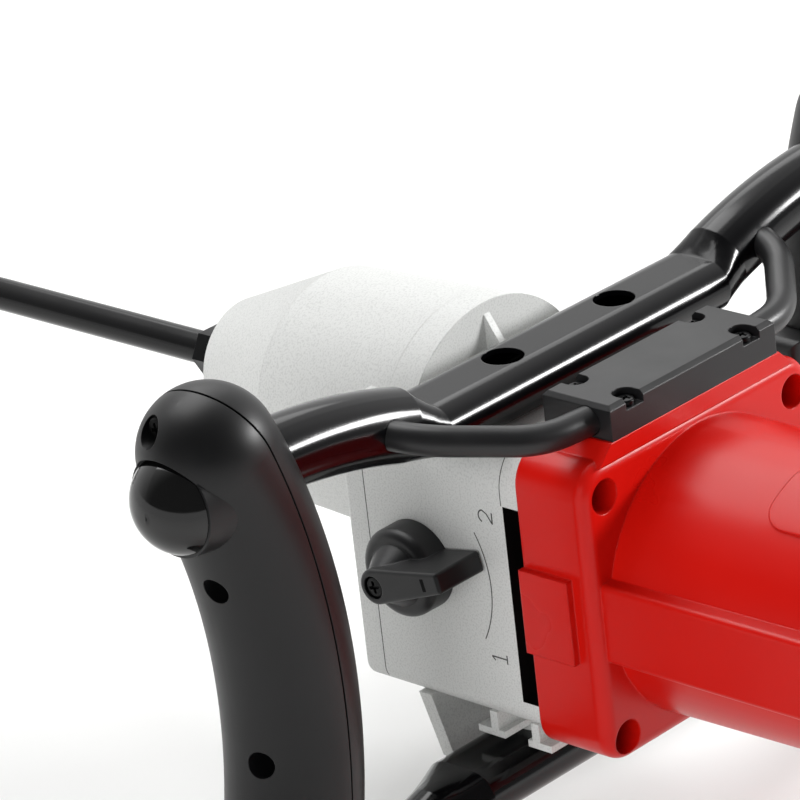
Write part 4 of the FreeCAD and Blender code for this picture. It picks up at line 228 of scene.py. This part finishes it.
# %% Floor finish
PAPER_BOUNCE = "#d0d0cf"
PAPER_NEAR_M = 0.35
PAPER_FAR_M = 1.2
WHITE = (1, 1, 1, 1)


def seen_rays(tree):
    """One for rays from the camera and for those that a mirror or a glass sends on, nought for light."""
    ray = add(tree, "LightPath")
    seen = add(tree, "Math", {"operation": "MAXIMUM"},
               {0: ray.outputs["Is Camera Ray"], 1: ray.outputs["Is Glossy Ray"]})
    seen = add(tree, "Math", {"operation": "MAXIMUM"},
               {0: seen.outputs[0], 1: ray.outputs["Is Transmission Ray"]})
    return seen.outputs[0]


material, tree, output = new_material("matt_studio_paper")
place = add(tree, "TexCoord")
middle = add(tree, "VectorMath", {"operation": "DISTANCE"},
             {0: place.outputs["Object"], 1: (0, FLOOR_MIDDLE_Y, 0)})
far = add(tree, "MapRange", {"interpolation_type": "SMOOTHSTEP"},
          {"Value": middle.outputs["Value"], "From Min": PAPER_NEAR_M, "From Max": PAPER_FAR_M})
share = add(tree, "Math", {"operation": "MULTIPLY"}, {0: seen_rays(tree), 1: far.outputs["Result"]})
shade = add(tree, "Mix", {"data_type": "RGBA"},
            {"Factor": seen_rays(tree), "A": linear(PAPER_BOUNCE), "B": linear(PAPER)})
matt = add(tree, "BsdfDiffuse", None, {"Color": colour_out(shade)})
white = add(tree, "Emission", None, {"Color": WHITE, "Strength": 1.0})
mixed = add(tree, "MixShader", None, {0: share.outputs[0], 1: matt.outputs[0], 2: white.outputs[0]})
tree.links.new(mixed.outputs[0], output.inputs["Surface"])
floor.data.materials.append(material)
print("floor white beyond", PAPER_FAR_M, "m")

# %% [markdown]
# Studio pictures of tools use large soft boxes. The long soft shine on the motor's back points to one above
# and beyond the drill. The bright rear face asks for a narrow one behind the motor on the right, and the
# darker left side for a broad one on the left. A small one beyond the drill draws the sheen along the tops of
# the grips and the box. The left one is kept out of reflections, as a black screen in front of a lamp would
# do, so that the near sides of black parts stay black. Point lamps would be simpler, but their shine on
# enamel would be dots. Area lamps give the broad streaks.

# %% Light
LIT_POINT = Vector((0.0, -0.05, 0.0))


def soft_box(name, toward, distance, width, height, watts):
    """An area lamp at a distance along a direction from the drill, facing it. Lengths are in metres."""
    lamp = bpy.data.lights.new(name, "AREA")
    lamp.shape = "RECTANGLE"
    lamp.size = width
    lamp.size_y = height
    lamp.energy = watts
    box_object = bpy.data.objects.new(name, lamp)
    bpy.context.scene.collection.objects.link(box_object)
    direction = Vector(toward).normalized()
    box_object.location = LIT_POINT + direction * distance
    box_object.rotation_mode = "QUATERNION"
    box_object.rotation_quaternion = direction.to_track_quat("Z", "Y")
    return box_object


soft_box("overhead_box", (0.05, 0.42, 0.90), distance=2.2, width=1.7, height=1.4, watts=31)
soft_box("rim_box", (0.56, 0.56, 0.61), distance=2.6, width=1.4, height=0.7, watts=6)
soft_box("right_box", (0.74, -0.60, 0.32), distance=2.2, width=0.9, height=0.3, watts=50)
left_box = soft_box("left_box", (-0.92, -0.30, 0.24), distance=2.6, width=2.0, height=1.0, watts=42)
left_box.visible_glossy = False

# %% [markdown]
# The room beyond the drill is a pale backdrop, and the room behind the camera is dark. Glossy black parts
# show both: their far sides mirror the backdrop and their near sides stay black. A plain even world would
# grey them all over. The world is a blend along one fixed direction of the room. Seen directly or in a
# reflection its backdrop is white.

# %% Room
BACKDROP_TOWARD = (0.70, 0.71, 0.05)
BACKDROP_LEVEL = 0.6
DARK_LEVEL = 0.12
BLEND_FROM = -0.3
BLEND_TO = 0.6

world = bpy.data.worlds.new("studio_room")
bpy.context.scene.world = world
world.use_nodes = True
tree = world.node_tree
tree.nodes.clear()
way = add(tree, "TexCoord")
facing = add(tree, "VectorMath", {"operation": "DOT_PRODUCT"},
             {0: way.outputs["Generated"], 1: BACKDROP_TOWARD})
backdrop = add(tree, "MapRange", None, {"Value": seen_rays(tree), "To Min": BACKDROP_LEVEL, "To Max": 1.0})
level = add(tree, "MapRange", {"interpolation_type": "SMOOTHSTEP"}, {
    "Value": facing.outputs["Value"], "From Min": BLEND_FROM, "From Max": BLEND_TO,
    "To Min": DARK_LEVEL, "To Max": backdrop.outputs["Result"],
})
air = add(tree, "Background", None, {"Color": WHITE, "Strength": level.outputs["Result"]})
output = add(tree, "OutputWorld")
tree.links.new(air.outputs[0], output.inputs["Surface"])
print("room from", DARK_LEVEL, "to", BACKDROP_LEVEL)

# %% [markdown]
# Most of the drill's surfaces share one build: a colour that drifts slowly, a roughness that drifts with it,
# a fine grain that tilts the surface, and a small rounding of every edge, since no moulded or cast edge is a
# knife. One function lays these in order. Each finish below then only states its real sizes and values. Grain
# could come from a picture of the surface, but noise on the object's own coordinates needs no picture and has
# the same size in millimetres everywhere.

# %% The shared build of a finish
EDGE_SAMPLES = 6
DRIFT_DETAIL = 3.0
GRAIN_DETAIL = 2.0
DRIFT_RANGE = (0.3, 0.7)
SPECK_RANGE = (0.45, 0.75)


def finish(name, colour, drift, drift_mm, roughness, grain_mm, grain_depth_mm, metallic=0.0, specular=0.5,
           edge_mm=0.5, speck=None, speck_mm=1.5):
    """A procedural finish. Drift is the second colour, roughness is (smooth, rough), sizes are in mm."""
    material, tree, output = new_material(name)
    place = add(tree, "TexCoord").outputs["Object"]
    slow = add(tree, "TexNoise", None, {"Vector": place, "Scale": 1 / (drift_mm * MM), "Detail": DRIFT_DETAIL})
    fine = add(tree, "TexNoise", None, {"Vector": place, "Scale": 1 / (grain_mm * MM), "Detail": GRAIN_DETAIL})
    tone = colour_out(add(tree, "Mix", {"data_type": "RGBA"},
                          {"Factor": slow.outputs["Fac"], "A": linear(colour), "B": linear(drift)}))
    if speck:
        dots = add(tree, "TexNoise", None, {"Vector": place, "Scale": 1 / (speck_mm * MM), "Detail": 0.0})
        dots = add(tree, "MapRange", None, {
            "Value": dots.outputs["Fac"], "From Min": SPECK_RANGE[0], "From Max": SPECK_RANGE[1],
        })
        tone = colour_out(add(tree, "Mix", {"data_type": "RGBA"},
                              {"Factor": dots.outputs["Result"], "A": tone, "B": linear(speck)}))
    rough = add(tree, "MapRange", None, {
        "Value": slow.outputs["Fac"], "From Min": DRIFT_RANGE[0], "From Max": DRIFT_RANGE[1],
        "To Min": roughness[0], "To Max": roughness[1],
    })
    edge = add(tree, "Bevel", {"samples": EDGE_SAMPLES}, {"Radius": edge_mm * MM})
    bump = add(tree, "Bump", None, {
        "Strength": 1.0, "Distance": grain_depth_mm * MM,
        "Height": fine.outputs["Fac"], "Normal": edge.outputs["Normal"],
    })
    shader = add(tree, "BsdfPrincipled", None, {
        "Base Color": tone, "Roughness": rough.outputs["Result"], "Metallic": metallic,
        "Normal": bump.outputs["Normal"], "Specular IOR Level": specular,
    })
    tree.links.new(shader.outputs["BSDF"], output.inputs["Surface"])
    return material


print("edges are rounded with", EDGE_SAMPLES, "samples")

# %% [markdown]
# A finish goes on the CAD nodes by their names. A few places get a darker tone than the rest of their
# finish: the inside of a slot, as painted shade, and dark seam lines. They could be painted on as a picture.
# Here they
# are bands, given in millimetres, and the finish mixes in the darker colour between their edges.

# %% Dressing nodes and darker bands
def dress(material, *names):
    """Gives a finish to CAD nodes."""
    for name in names:
        nodes[name].data.materials.clear()
        nodes[name].data.materials.append(material)


def shade_and_seam_band(material, y_band, z_band, colour):
    """Mixes a darker colour into a finish inside a band of y and of z, each as (middle, half) in mm. It serves
    for painted shade inside a slot and for dark seam lines.
    """
    tree = material.node_tree
    axes = add(tree, "SeparateXYZ", None, {0: found(tree, "TEX_COORD").outputs["Object"]})
    in_y, in_z = [
        add(tree, "Math", {"operation": "COMPARE"}, {0: axes.outputs[axis], 1: middle * MM, 2: half * MM})
        for axis, (middle, half) in (("Y", y_band), ("Z", z_band))
    ]
    inside = add(tree, "Math", {"operation": "MULTIPLY"}, {0: in_y.outputs[0], 1: in_z.outputs[0]})
    base = found(tree, "BSDF_PRINCIPLED").inputs["Base Color"]
    tone = add(tree, "Mix", {"data_type": "RGBA"},
               {"Factor": inside.outputs[0], "A": base.links[0].from_socket, "B": linear(colour)})
    tree.links.new(colour_out(tone), base)


print("nodes to dress", len(nodes))

# %% [markdown]
# The motor case is glass-filled nylon, moulded in red with a fine spark-eroded grain of about 0.4 mm.
# It gives a broad soft shine rather than a mirror. Bare paint would be smoother and would show the lamps.

# %% Red moulded nylon
red_nylon = finish(
    "moulded_red_nylon", "#c00f08", "#c8140b", drift_mm=40.0, roughness=(0.27, 0.34),
    grain_mm=0.45, grain_depth_mm=0.010, specular=0.26, edge_mm=0.9,
)
dress(red_nylon, "motor_housing", "motor_rear_cover")
print(red_nylon.name)

# %% [markdown]
# The gearbox is a die casting of aluminium, blasted with fine grit. The blasting leaves a matt pale grey with
# grains and slightly darker pores of about 0.7 mm. A clean mirror metal would be wrong: the grit scatters the
# light, so the finish is rough and only a little metallic. The air slot's inside is coloured near black as
# painted shade, and the seam of the front cover and a short line up the rear edge are drawn darker.

# %% Blasted aluminium casting
# The air slot band is painted shade: the slot's inside is coloured near black for the shadow that would fill
# it.
AIR_SLOT_PAINTED_SHADE = ((-58.0, 5.55), (-33.25, 36.8))
COVER_SEAM = ((13.0, 0.2), (-34.5, 42.5))
REAR_LINE = ((-51.8, 0.2), (13.0, 9.4))

blasted_aluminium = finish(
    "blasted_aluminium", "#d8d9d7", "#dedfdd", drift_mm=25.0, roughness=(0.50, 0.60),
    grain_mm=0.7, grain_depth_mm=0.022, metallic=0.1, specular=0.2,
    edge_mm=0.5, speck="#cdcecc", speck_mm=0.7,
)
# Painted shade: the inside of the air slot is coloured near black.
shade_and_seam_band(blasted_aluminium, *AIR_SLOT_PAINTED_SHADE, "#0b0b0b")
shade_and_seam_band(blasted_aluminium, *COVER_SEAM, "#3c3c3a")
shade_and_seam_band(blasted_aluminium, *REAR_LINE, "#4a4a48")
dress(blasted_aluminium, "gearbox_housing", "gearbox_front_cover", "spindle_nose", "bearing_plate")
print(blasted_aluminium.name)

# %% [markdown]
# The frame tubes are steel with baked black enamel. Enamel flows before it sets, so it is glossy and its skin
# waves slightly every few millimetres. The mixing rod and its paddle have the same enamel, a little duller.

# %% Black enamel
tube_enamel = finish(
    "baked_black_enamel", "#040405", "#060608", drift_mm=60.0, roughness=(0.12, 0.18),
    grain_mm=4.0, grain_depth_mm=0.010, specular=0.34, edge_mm=0.6,
)
rod_enamel = finish(
    "stirrer_black_enamel", "#050506", "#070708", drift_mm=30.0, roughness=(0.14, 0.22),
    grain_mm=3.0, grain_depth_mm=0.012, specular=0.25, edge_mm=0.6,
)
dress(tube_enamel, "upper_frame_tube", "lower_frame_tube")
dress(rod_enamel, "paddle_rod", "paddle_top_arms", "paddle_blades", "paddle_ring")
print(tube_enamel.name, rod_enamel.name)

# %% [markdown]
# The grips are polypropylene shells with a fine matt grain that keeps a hand from slipping.
# They show a soft sheen along the bow. The tube caps are smooth polished ABS and mirror the room.

# %% Grip and cap plastics
grip_plastic = finish(
    "grained_grip_polypropylene", "#0b0b0c", "#0f0f10", drift_mm=35.0, roughness=(0.38, 0.44),
    grain_mm=0.5, grain_depth_mm=0.010, specular=0.36, edge_mm=0.4,
)
cap_plastic = finish(
    "polished_black_abs", "#080808", "#0b0b0b", drift_mm=20.0, roughness=(0.07, 0.10),
    grain_mm=5.0, grain_depth_mm=0.004, edge_mm=0.5,
)
dress(grip_plastic, "left_grip_outer", "left_grip_inner", "right_grip_outer", "right_grip_inner")
dress(cap_plastic, "tube_end_caps")
print(grip_plastic.name, cap_plastic.name)

# %% [markdown]
# The junction box, the selector and the switch parts are black nylon with a coarser grain, which looks dark
# grey on top where it takes the light. The hoses, the cord gland and the seal are rubber, smoother than the
# nylon.

# %% Box plastic and rubber
box_plastic = finish(
    "grained_black_nylon", "#151516", "#1a1a1b", drift_mm=20.0, roughness=(0.34, 0.43),
    grain_mm=0.6, grain_depth_mm=0.020, specular=0.36, edge_mm=0.6,
)
hose_rubber = finish(
    "smooth_black_rubber", "#161617", "#1b1b1c", drift_mm=15.0, roughness=(0.32, 0.40),
    grain_mm=0.8, grain_depth_mm=0.008, specular=0.45, edge_mm=0.4,
)
dress(box_plastic, "junction_box", "selector_knob", "lock_button", "trigger", "brush_caps")
dress(hose_rubber, "left_hose", "right_hose", "cord_gland", "spindle_seal")
print(box_plastic.name, hose_rubber.name)

# %% [markdown]
# Steel parts come in three states: blackened on the screws and the spindle, ground bright on the gears and
# shafts, and polished on the bearings. Blackening is a thin oxide, so the metal still shines through it at
# the edges. Screws deep in a hole get a darker, duller copy of the blackened steel, painted shade for the
# shadow in the hole.

# %% Steels
black_steel = finish(
    "black_oxide_steel", "#0b0b0c", "#101011", drift_mm=8.0, roughness=(0.28, 0.40),
    grain_mm=0.7, grain_depth_mm=0.008, metallic=0.3, specular=0.2, edge_mm=0.3,
)
ground_steel = finish(
    "ground_gear_steel", "#8f9092", "#a2a3a4", drift_mm=12.0, roughness=(0.22, 0.34),
    grain_mm=0.4, grain_depth_mm=0.006, metallic=1.0, edge_mm=0.3,
)
bearing_steel = finish(
    "polished_bearing_steel", "#b4b5b6", "#bfc0c0", drift_mm=10.0, roughness=(0.14, 0.22),
    grain_mm=0.5, grain_depth_mm=0.003, metallic=1.0, edge_mm=0.3,
)
# Painted shade: a darker, duller copy of the black steel for screws that sit deep in a hole, standing for the
# shadow there.
hole_shade_steel = finish(
    "black_steel_painted_hole_shade", "#040404", "#060606", drift_mm=8.0, roughness=(0.45, 0.55),
    grain_mm=0.7, grain_depth_mm=0.008, specular=0.1, edge_mm=0.3,
)
dress(black_steel, "spindle")
dress(ground_steel, "layshaft", "layshaft_drive_gear", "low_speed_gear", "high_speed_gear", "clutch_shaft",
      "shift_sleeve", "output_gear", "selector_shaft", "shift_fork", "shift_rail", "armature_shaft")
dress(bearing_steel, "armature_bearings", "layshaft_bearings", "clutch_shaft_bearings", "spindle_bearings")
print(black_steel.name, ground_steel.name, bearing_steel.name, hole_shade_steel.name)

# %% [markdown]
# Inside the motor are stacked iron sheets, enamelled copper wire, a brass guide and a block of pressed
# carbon. Nobody sees them in the picture, but a reader who opens the model does. The sheets and the wire get
# bands: a wave along the motor's axis with the pitch of a sheet, drawn coarser than the real 0.5 mm so that
# it shows.

# %% Motor insides
def banded(material, pitch_mm, depth_mm):
    """Adds straight bands along Y to a finish: a bump whose height is a wave of the given pitch."""
    tree = material.node_tree
    # Blender's wave has 20 / (2 pi) bands in a unit at a scale of one.
    wave = add(tree, "TexWave", {"bands_direction": "Y"}, {
        "Vector": found(tree, "TEX_COORD").outputs["Object"], "Scale": math.pi / (10 * pitch_mm * MM),
    })
    over = add(tree, "Bump", None, {
        "Distance": depth_mm * MM, "Height": wave.outputs["Fac"],
        "Normal": found(tree, "BUMP").outputs["Normal"],
    })
    tree.links.new(over.outputs["Normal"], found(tree, "BSDF_PRINCIPLED").inputs["Normal"])


sheet_iron = finish(
    "stacked_sheet_iron", "#5c5c5e", "#6a6a6b", drift_mm=8.0, roughness=(0.35, 0.5),
    grain_mm=0.6, grain_depth_mm=0.01, metallic=1.0, edge_mm=0.3,
)
banded(sheet_iron, pitch_mm=1.0, depth_mm=0.15)
copper_wire = finish(
    "varnished_copper_wire", "#b4632f", "#c47238", drift_mm=6.0, roughness=(0.25, 0.38),
    grain_mm=0.6, grain_depth_mm=0.02, metallic=0.9, edge_mm=0.4,
)
banded(copper_wire, pitch_mm=1.2, depth_mm=0.25)
drawn_brass = finish(
    "drawn_brass", "#c2a256", "#cbae63", drift_mm=8.0, roughness=(0.22, 0.32),
    grain_mm=0.5, grain_depth_mm=0.005, metallic=1.0, edge_mm=0.3,
)
pressed_carbon = finish(
    "pressed_carbon", "#1d1d1e", "#262627", drift_mm=3.0, roughness=(0.5, 0.65),
    grain_mm=0.5, grain_depth_mm=0.02, edge_mm=0.3,
)
dark_moulding = finish(
    "dark_polyamide_moulding", "#2a2b2c", "#303132", drift_mm=10.0, roughness=(0.42, 0.52),
    grain_mm=0.7, grain_depth_mm=0.015, edge_mm=0.3,
)
dress(sheet_iron, "stator_core", "armature_core")
dress(copper_wire, "field_coils", "armature_windings", "commutator")
dress(drawn_brass, "brush_holders")
dress(pressed_carbon, "carbon_brushes")
dress(dark_moulding, "cooling_fan", "terminal_block", "switch_body")
print(sheet_iron.name, copper_wire.name, drawn_brass.name, pressed_carbon.name, dark_moulding.name)

# %% [markdown]
# The CAD screws are plain pins with round heads. Real ones have a driver's recess, and it is what the eye
# looks for. The recess could be cut with a boolean, which leaves a ragged mesh. A screw is easier as a grid:
# its rows go from the bottom of the recess, up its wall, over the head and down the shank, and the recess
# rows change their radius with the angle, as a hexagon or a cross.

# %% Screw surfaces
SCREW_SPOKES = 72
LEAST_COSINE = 1e-6
RIM_SHARE = 0.12
LIP_SHARE = 1.06
LIP_MOST = 0.95
CROWN_RING_SHARE = 0.75
RECESS_FLOOR_SHARE = 0.7
RECESS_WALL_SHARE = 0.97
RECESS_WALL_DEPTH = 0.35
RECESS_EDGE_MM = 0.08
spoke = np.linspace(0, 2 * math.pi, SCREW_SPOKES, endpoint=False)


def hexagon(across):
    """Radius of a hexagon at each angle: half its width over the cosine of the angle from the nearest flat."""
    return across / 2 / np.cos((spoke + math.pi / 6) % (math.pi / 3) - math.pi / 6)


def cross(reach, half_width):
    """Radius of a cross at each angle: the farther edge of two crossed bars."""
    c = np.maximum(np.abs(np.cos(spoke)), LEAST_COSINE)
    s = np.maximum(np.abs(np.sin(spoke)), LEAST_COSINE)
    return np.maximum(np.minimum(reach / c, half_width / s), np.minimum(half_width / c, reach / s))


def screw_rows(recess, depth, head_r, head_h, dome, shank_r, shank):
    """Rows of (radius, height) from the recess's floor to the shank's end, in mm. Height 0 is the head's rim,
    and the head's top is the crown dome * (1 - (radius / head_r) ** 2)."""
    def crown(radius):
        return dome * (1 - (radius / head_r) ** 2)

    ring = np.ones(SCREW_SPOKES)
    rim = RIM_SHARE * head_r
    floor_height = (crown(0) - depth) * ring
    lip = np.minimum(recess * LIP_SHARE, head_r * LIP_MOST)
    middle = np.maximum(lip, CROWN_RING_SHARE * head_r)
    shoulder = (head_r - rim) * ring
    tail = -(head_h + shank) * ring
    return [
        (0 * ring, floor_height), (RECESS_FLOOR_SHARE * recess, floor_height),
        (recess * RECESS_WALL_SHARE, crown(recess) - RECESS_WALL_DEPTH * depth),
        (recess, crown(recess) - RECESS_EDGE_MM), (lip, crown(lip)), (middle, crown(middle)),
        (shoulder, crown(shoulder)), (head_r * ring, -rim * ring), (head_r * ring, -head_h * ring),
        (shank_r * ring, -head_h * ring), (shank_r * ring, tail), (0 * ring, tail),
    ]


print("screws have", SCREW_SPOKES, "spokes")

# %% [markdown]
# One function sets such a grid on every place where a kind of screw sits. Each screw is turned a little
# further than the last, because nobody drives screws to the same angle. The piece takes the place of its CAD
# node.

# %% Setting screws
SCREW_CREASE = math.radians(28)
TWIST_FIRST = 0.3
TWIST_STEP = 0.7
UPRIGHT = 0.9


def screws(name, rows, rims, outward, body, node, material=black_steel):
    """Screws of one kind: the rows' grid set on each rim centre, turned to its outward direction, in mm."""
    radius = np.stack([r for r, h in rows])
    height = np.stack([h for r, h in rows])
    grids = []
    for number, (rim, out) in enumerate(zip(rims, outward)):
        out = np.array(out, float)
        first = np.cross(out, (0.0, 0.0, 1.0) if abs(out[2]) < UPRIGHT else (1.0, 0.0, 0.0))
        second = np.cross(out, first)
        angle = spoke + (TWIST_STEP * number + TWIST_FIRST)
        along = np.cos(angle)[None, :, None] * first + np.sin(angle)[None, :, None] * second
        grids.append((np.array(rim) + radius[..., None] * along + height[..., None] * out) * MM)
    piece = grid_mesh(name, grids, sharp=SCREW_CREASE)
    piece.data.materials.append(material)
    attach(piece, body)
    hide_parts(node)
    print(name, len(grids), "screws", len(piece.data.polygons), "faces")


print("screws turn by", TWIST_STEP, "radians from one to the next")

# %% [markdown]
# Where each screw sits comes from the CAD part: the rim of its head, and the way that the head faces.
# Cross heads hold the box lid, the selector and the rear cover. Hexagon sockets hold the heavy joints.

# %% Screws in their places
MOTOR_Z = -30.5
FRAME_Y = -34.0
SELECTOR_AXIS = (-9.6, -27.5)

box_rims = [(x, y, 41.7) for x in (-30.5, 30.5) for y in (-89.8, -68.2)]
screws("junction_box_cross_screws",
       screw_rows(cross(1.9, 0.5), depth=1.2, head_r=3.2, head_h=1.9, dome=0.3, shank_r=1.8, shank=18.4),
       box_rims, [(0, 0, 1)] * 4, "frame", "junction_box_screws")

screws("selector_cross_screw",
       screw_rows(cross(2.3, 0.6), depth=1.2, head_r=3.9, head_h=1.7, dome=0.3, shank_r=2.0, shank=10.4),
       [(-78.5, *SELECTOR_AXIS)], [(-1, 0, 0)], "selector", "selector_screw")

rear_rims = [(x, -258.7, MOTOR_Z + z) for x in (-51.5, 51.5) for z in (-8.0, 8.0)]
screws("rear_cover_cross_screws",
       screw_rows(cross(2.2, 0.6), depth=1.6, head_r=3.8, head_h=2.7, dome=0.3, shank_r=2.0, shank=23.0),
       rear_rims, [(0, -1, 0)] * 4, "frame", "rear_cover_screws")

# The motor's socket screws sit deep in holes and take the steel darkened as painted shade.
motor_rims = [(x, -81.0, MOTOR_Z + z) for x in (-49.7, 49.7) for z in (-44.7, 44.7)]
screws("motor_socket_screws",
       screw_rows(hexagon(5.0), depth=3.0, head_r=5.2, head_h=5.5, dome=0.0, shank_r=3.0, shank=21.0),
       motor_rims, [(0, -1, 0)] * 4, "frame", "motor_screws", hole_shade_steel)

cover_rims = [(x, 23.0, z) for x in (-49.8, 49.8) for z in (-73.8, 13.0)]
screws("gearbox_cover_socket_screws",
       screw_rows(hexagon(4.0), depth=2.6, head_r=4.4, head_h=5.0, dome=0.0, shank_r=2.5, shank=15.0),
       cover_rims, [(0, 1, 0)] * 4, "frame", "gearbox_cover_screws")

bolt_rims = [(x, FRAME_Y, z) for x in (-29.0, 29.0) for z in (36.0, -103.0)]
screws("frame_socket_bolts",
       screw_rows(hexagon(6.0), depth=4.0, head_r=6.5, head_h=8.0, dome=0.0, shank_r=4.0, shank=12.5),
       bolt_rims, [(0, 0, 1), (0, 0, -1)] * 2, "frame", "frame_bolts")

# %% [markdown]
# The grips' cross-head screws follow the bow of the grip. Their places could be listed as bare points, but
# the arc that the CAD part uses gives the sideways place of each from its height alone.

# %% Grip screws
GRIP_MIDDLE = (146.8, FRAME_Y, -30.9)
GRIP_BOW = 221.0
GRIP_POST_OUT = 6.0
GRIP_HEAD_H = 2.7

left_places = [(107.3, 6.0), (49.4, -3.5), (-15.8, -7.0), (-58.0, -4.0), (-108.0, 0.0)]
right_places = left_places[3:] + left_places[1:2]
grip_rims, grip_out = [], []
for side, places in ((-1, left_places), (1, right_places)):
    for rise, aside in places:
        line = GRIP_MIDDLE[0] + GRIP_BOW - math.sqrt(GRIP_BOW ** 2 - rise ** 2)
        reach = side * (line + GRIP_POST_OUT + GRIP_HEAD_H)
        grip_rims.append((reach, GRIP_MIDDLE[1] + aside, GRIP_MIDDLE[2] + rise))
        grip_out.append((side, 0, 0))
# The grip screws sit deep in holes and take the steel darkened as painted shade.
screws("grip_cross_screws",
       screw_rows(cross(2.2, 0.6), depth=1.6, head_r=3.8, head_h=GRIP_HEAD_H, dome=0.3, shank_r=2.0,
                  shank=14.0),
       grip_rims, grip_out, "frame", "grip_screws", hole_shade_steel)

# %% [markdown]
# Beside the selector the casting is engraved: the figures of the two speeds and an arc between them, cut
# about half a millimetre wide and filled with dark paint. Text objects would bring a font's own shapes, so
# the figures are drawn as strokes: a low bar carried along each line of points.

# %% Strokes
STROKE_PROUD = 0.04
STROKE_DEEP = 0.3


def stroke(line, x_face, width):
    """A low bar on a face of constant x: a rectangle carried along (y, z) points, square to their line."""
    line = np.array(line, float)
    ahead = np.gradient(line, axis=0)
    ahead /= np.linalg.norm(ahead, axis=1, keepdims=True)
    side = np.stack([-ahead[:, 1], ahead[:, 0]], axis=1) * width / 2
    left, right = line + side, line - side
    columns = [(left, -STROKE_DEEP), (left, STROKE_PROUD), (right, STROKE_PROUD), (right, -STROKE_DEEP)]
    bar = np.stack([np.column_stack([np.full(len(p), x_face - h), p]) for p, h in columns], axis=1)
    ends = [np.repeat(bar[i].mean(axis=0)[None, None], 4, axis=1) for i in (0, -1)]
    return np.concatenate([ends[0], bar, ends[1]]) * MM


def bow(centre, radius, start, end, count):
    """Points on a circle in (y, z): centre plus radius times cosine and sine of the angle from +Y."""
    angle = np.radians(np.linspace(start, end, count))
    return np.column_stack([centre[0] + radius * np.cos(angle), centre[1] + radius * np.sin(angle)])


print("strokes stand", STROKE_PROUD, "mm proud")

# %% [markdown]
# The figures lie on their side, with their feet towards the motor.
# The 2 is a bow with a slanted back and a foot, the 1 an upright with a flag and a foot.

# %% Engraved figures and arc
FACE_X = -56.0
FIGURE_W = 0.55
ARC_W = 0.45

figure_lines = [
    np.concatenate([bow((-43.0, -2.1), 2.25, -70, 80, 14), [(-44.6, -1.0), (-46.9, -4.2)]]),
    [(-46.95, -4.3), (-46.95, -2.2), (-46.95, -0.1)],
    [(-40.0, -55.5), (-43.5, -55.5), (-47.0, -55.5)],
    [(-41.5, -56.9), (-40.8, -56.2), (-40.1, -55.6)],
    [(-47.0, -57.2), (-47.0, -55.5), (-47.0, -53.8)],
]
marks = [stroke(line, FACE_X, FIGURE_W) for line in figure_lines]
marks.append(stroke(bow((-2.2, -29.5), 40.9, 150.5, 209.5, 40), FACE_X, ARC_W))
paint = finish(
    "engraving_paint", "#3a3a38", "#464643", drift_mm=4.0, roughness=(0.5, 0.6),
    grain_mm=0.5, grain_depth_mm=0.01, edge_mm=0.05,
)
engraving = grid_mesh("speed_engraving", marks)
engraving.data.materials.append(paint)
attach(engraving, "frame")
print("engraving", len(engraving.data.polygons), "faces")

# %% [markdown]
# The selector's lever has a short dash across its top, near the tip, that points out the speed set.
# It is one more stroke, but it rides on the selector and is turned with the lever's resting angle.

# %% Dash on the lever
LEVER_TOP_X = -79.2
LEVER_REST = math.radians(15.5)
DASH_OUT = 25.0
DASH_HALF = 2.3
DASH_W = 1.6

across = np.linspace(-DASH_HALF, DASH_HALF, 3)
dash_line = np.column_stack([
    SELECTOR_AXIS[0] - DASH_OUT * math.cos(LEVER_REST) + across * math.sin(LEVER_REST),
    SELECTOR_AXIS[1] + DASH_OUT * math.sin(LEVER_REST) + across * math.cos(LEVER_REST),
])
dash = grid_mesh("selector_dash", [stroke(dash_line, LEVER_TOP_X, DASH_W)])
dash_paint = finish(
    "dash_black_paint", "#020202", "#040404", drift_mm=3.0, roughness=(0.6, 0.7),
    grain_mm=0.5, grain_depth_mm=0.01, specular=0.1, edge_mm=0.05,
)
dash.data.materials.append(dash_paint)
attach(dash, "selector")
print("dash", len(dash.data.polygons), "faces")
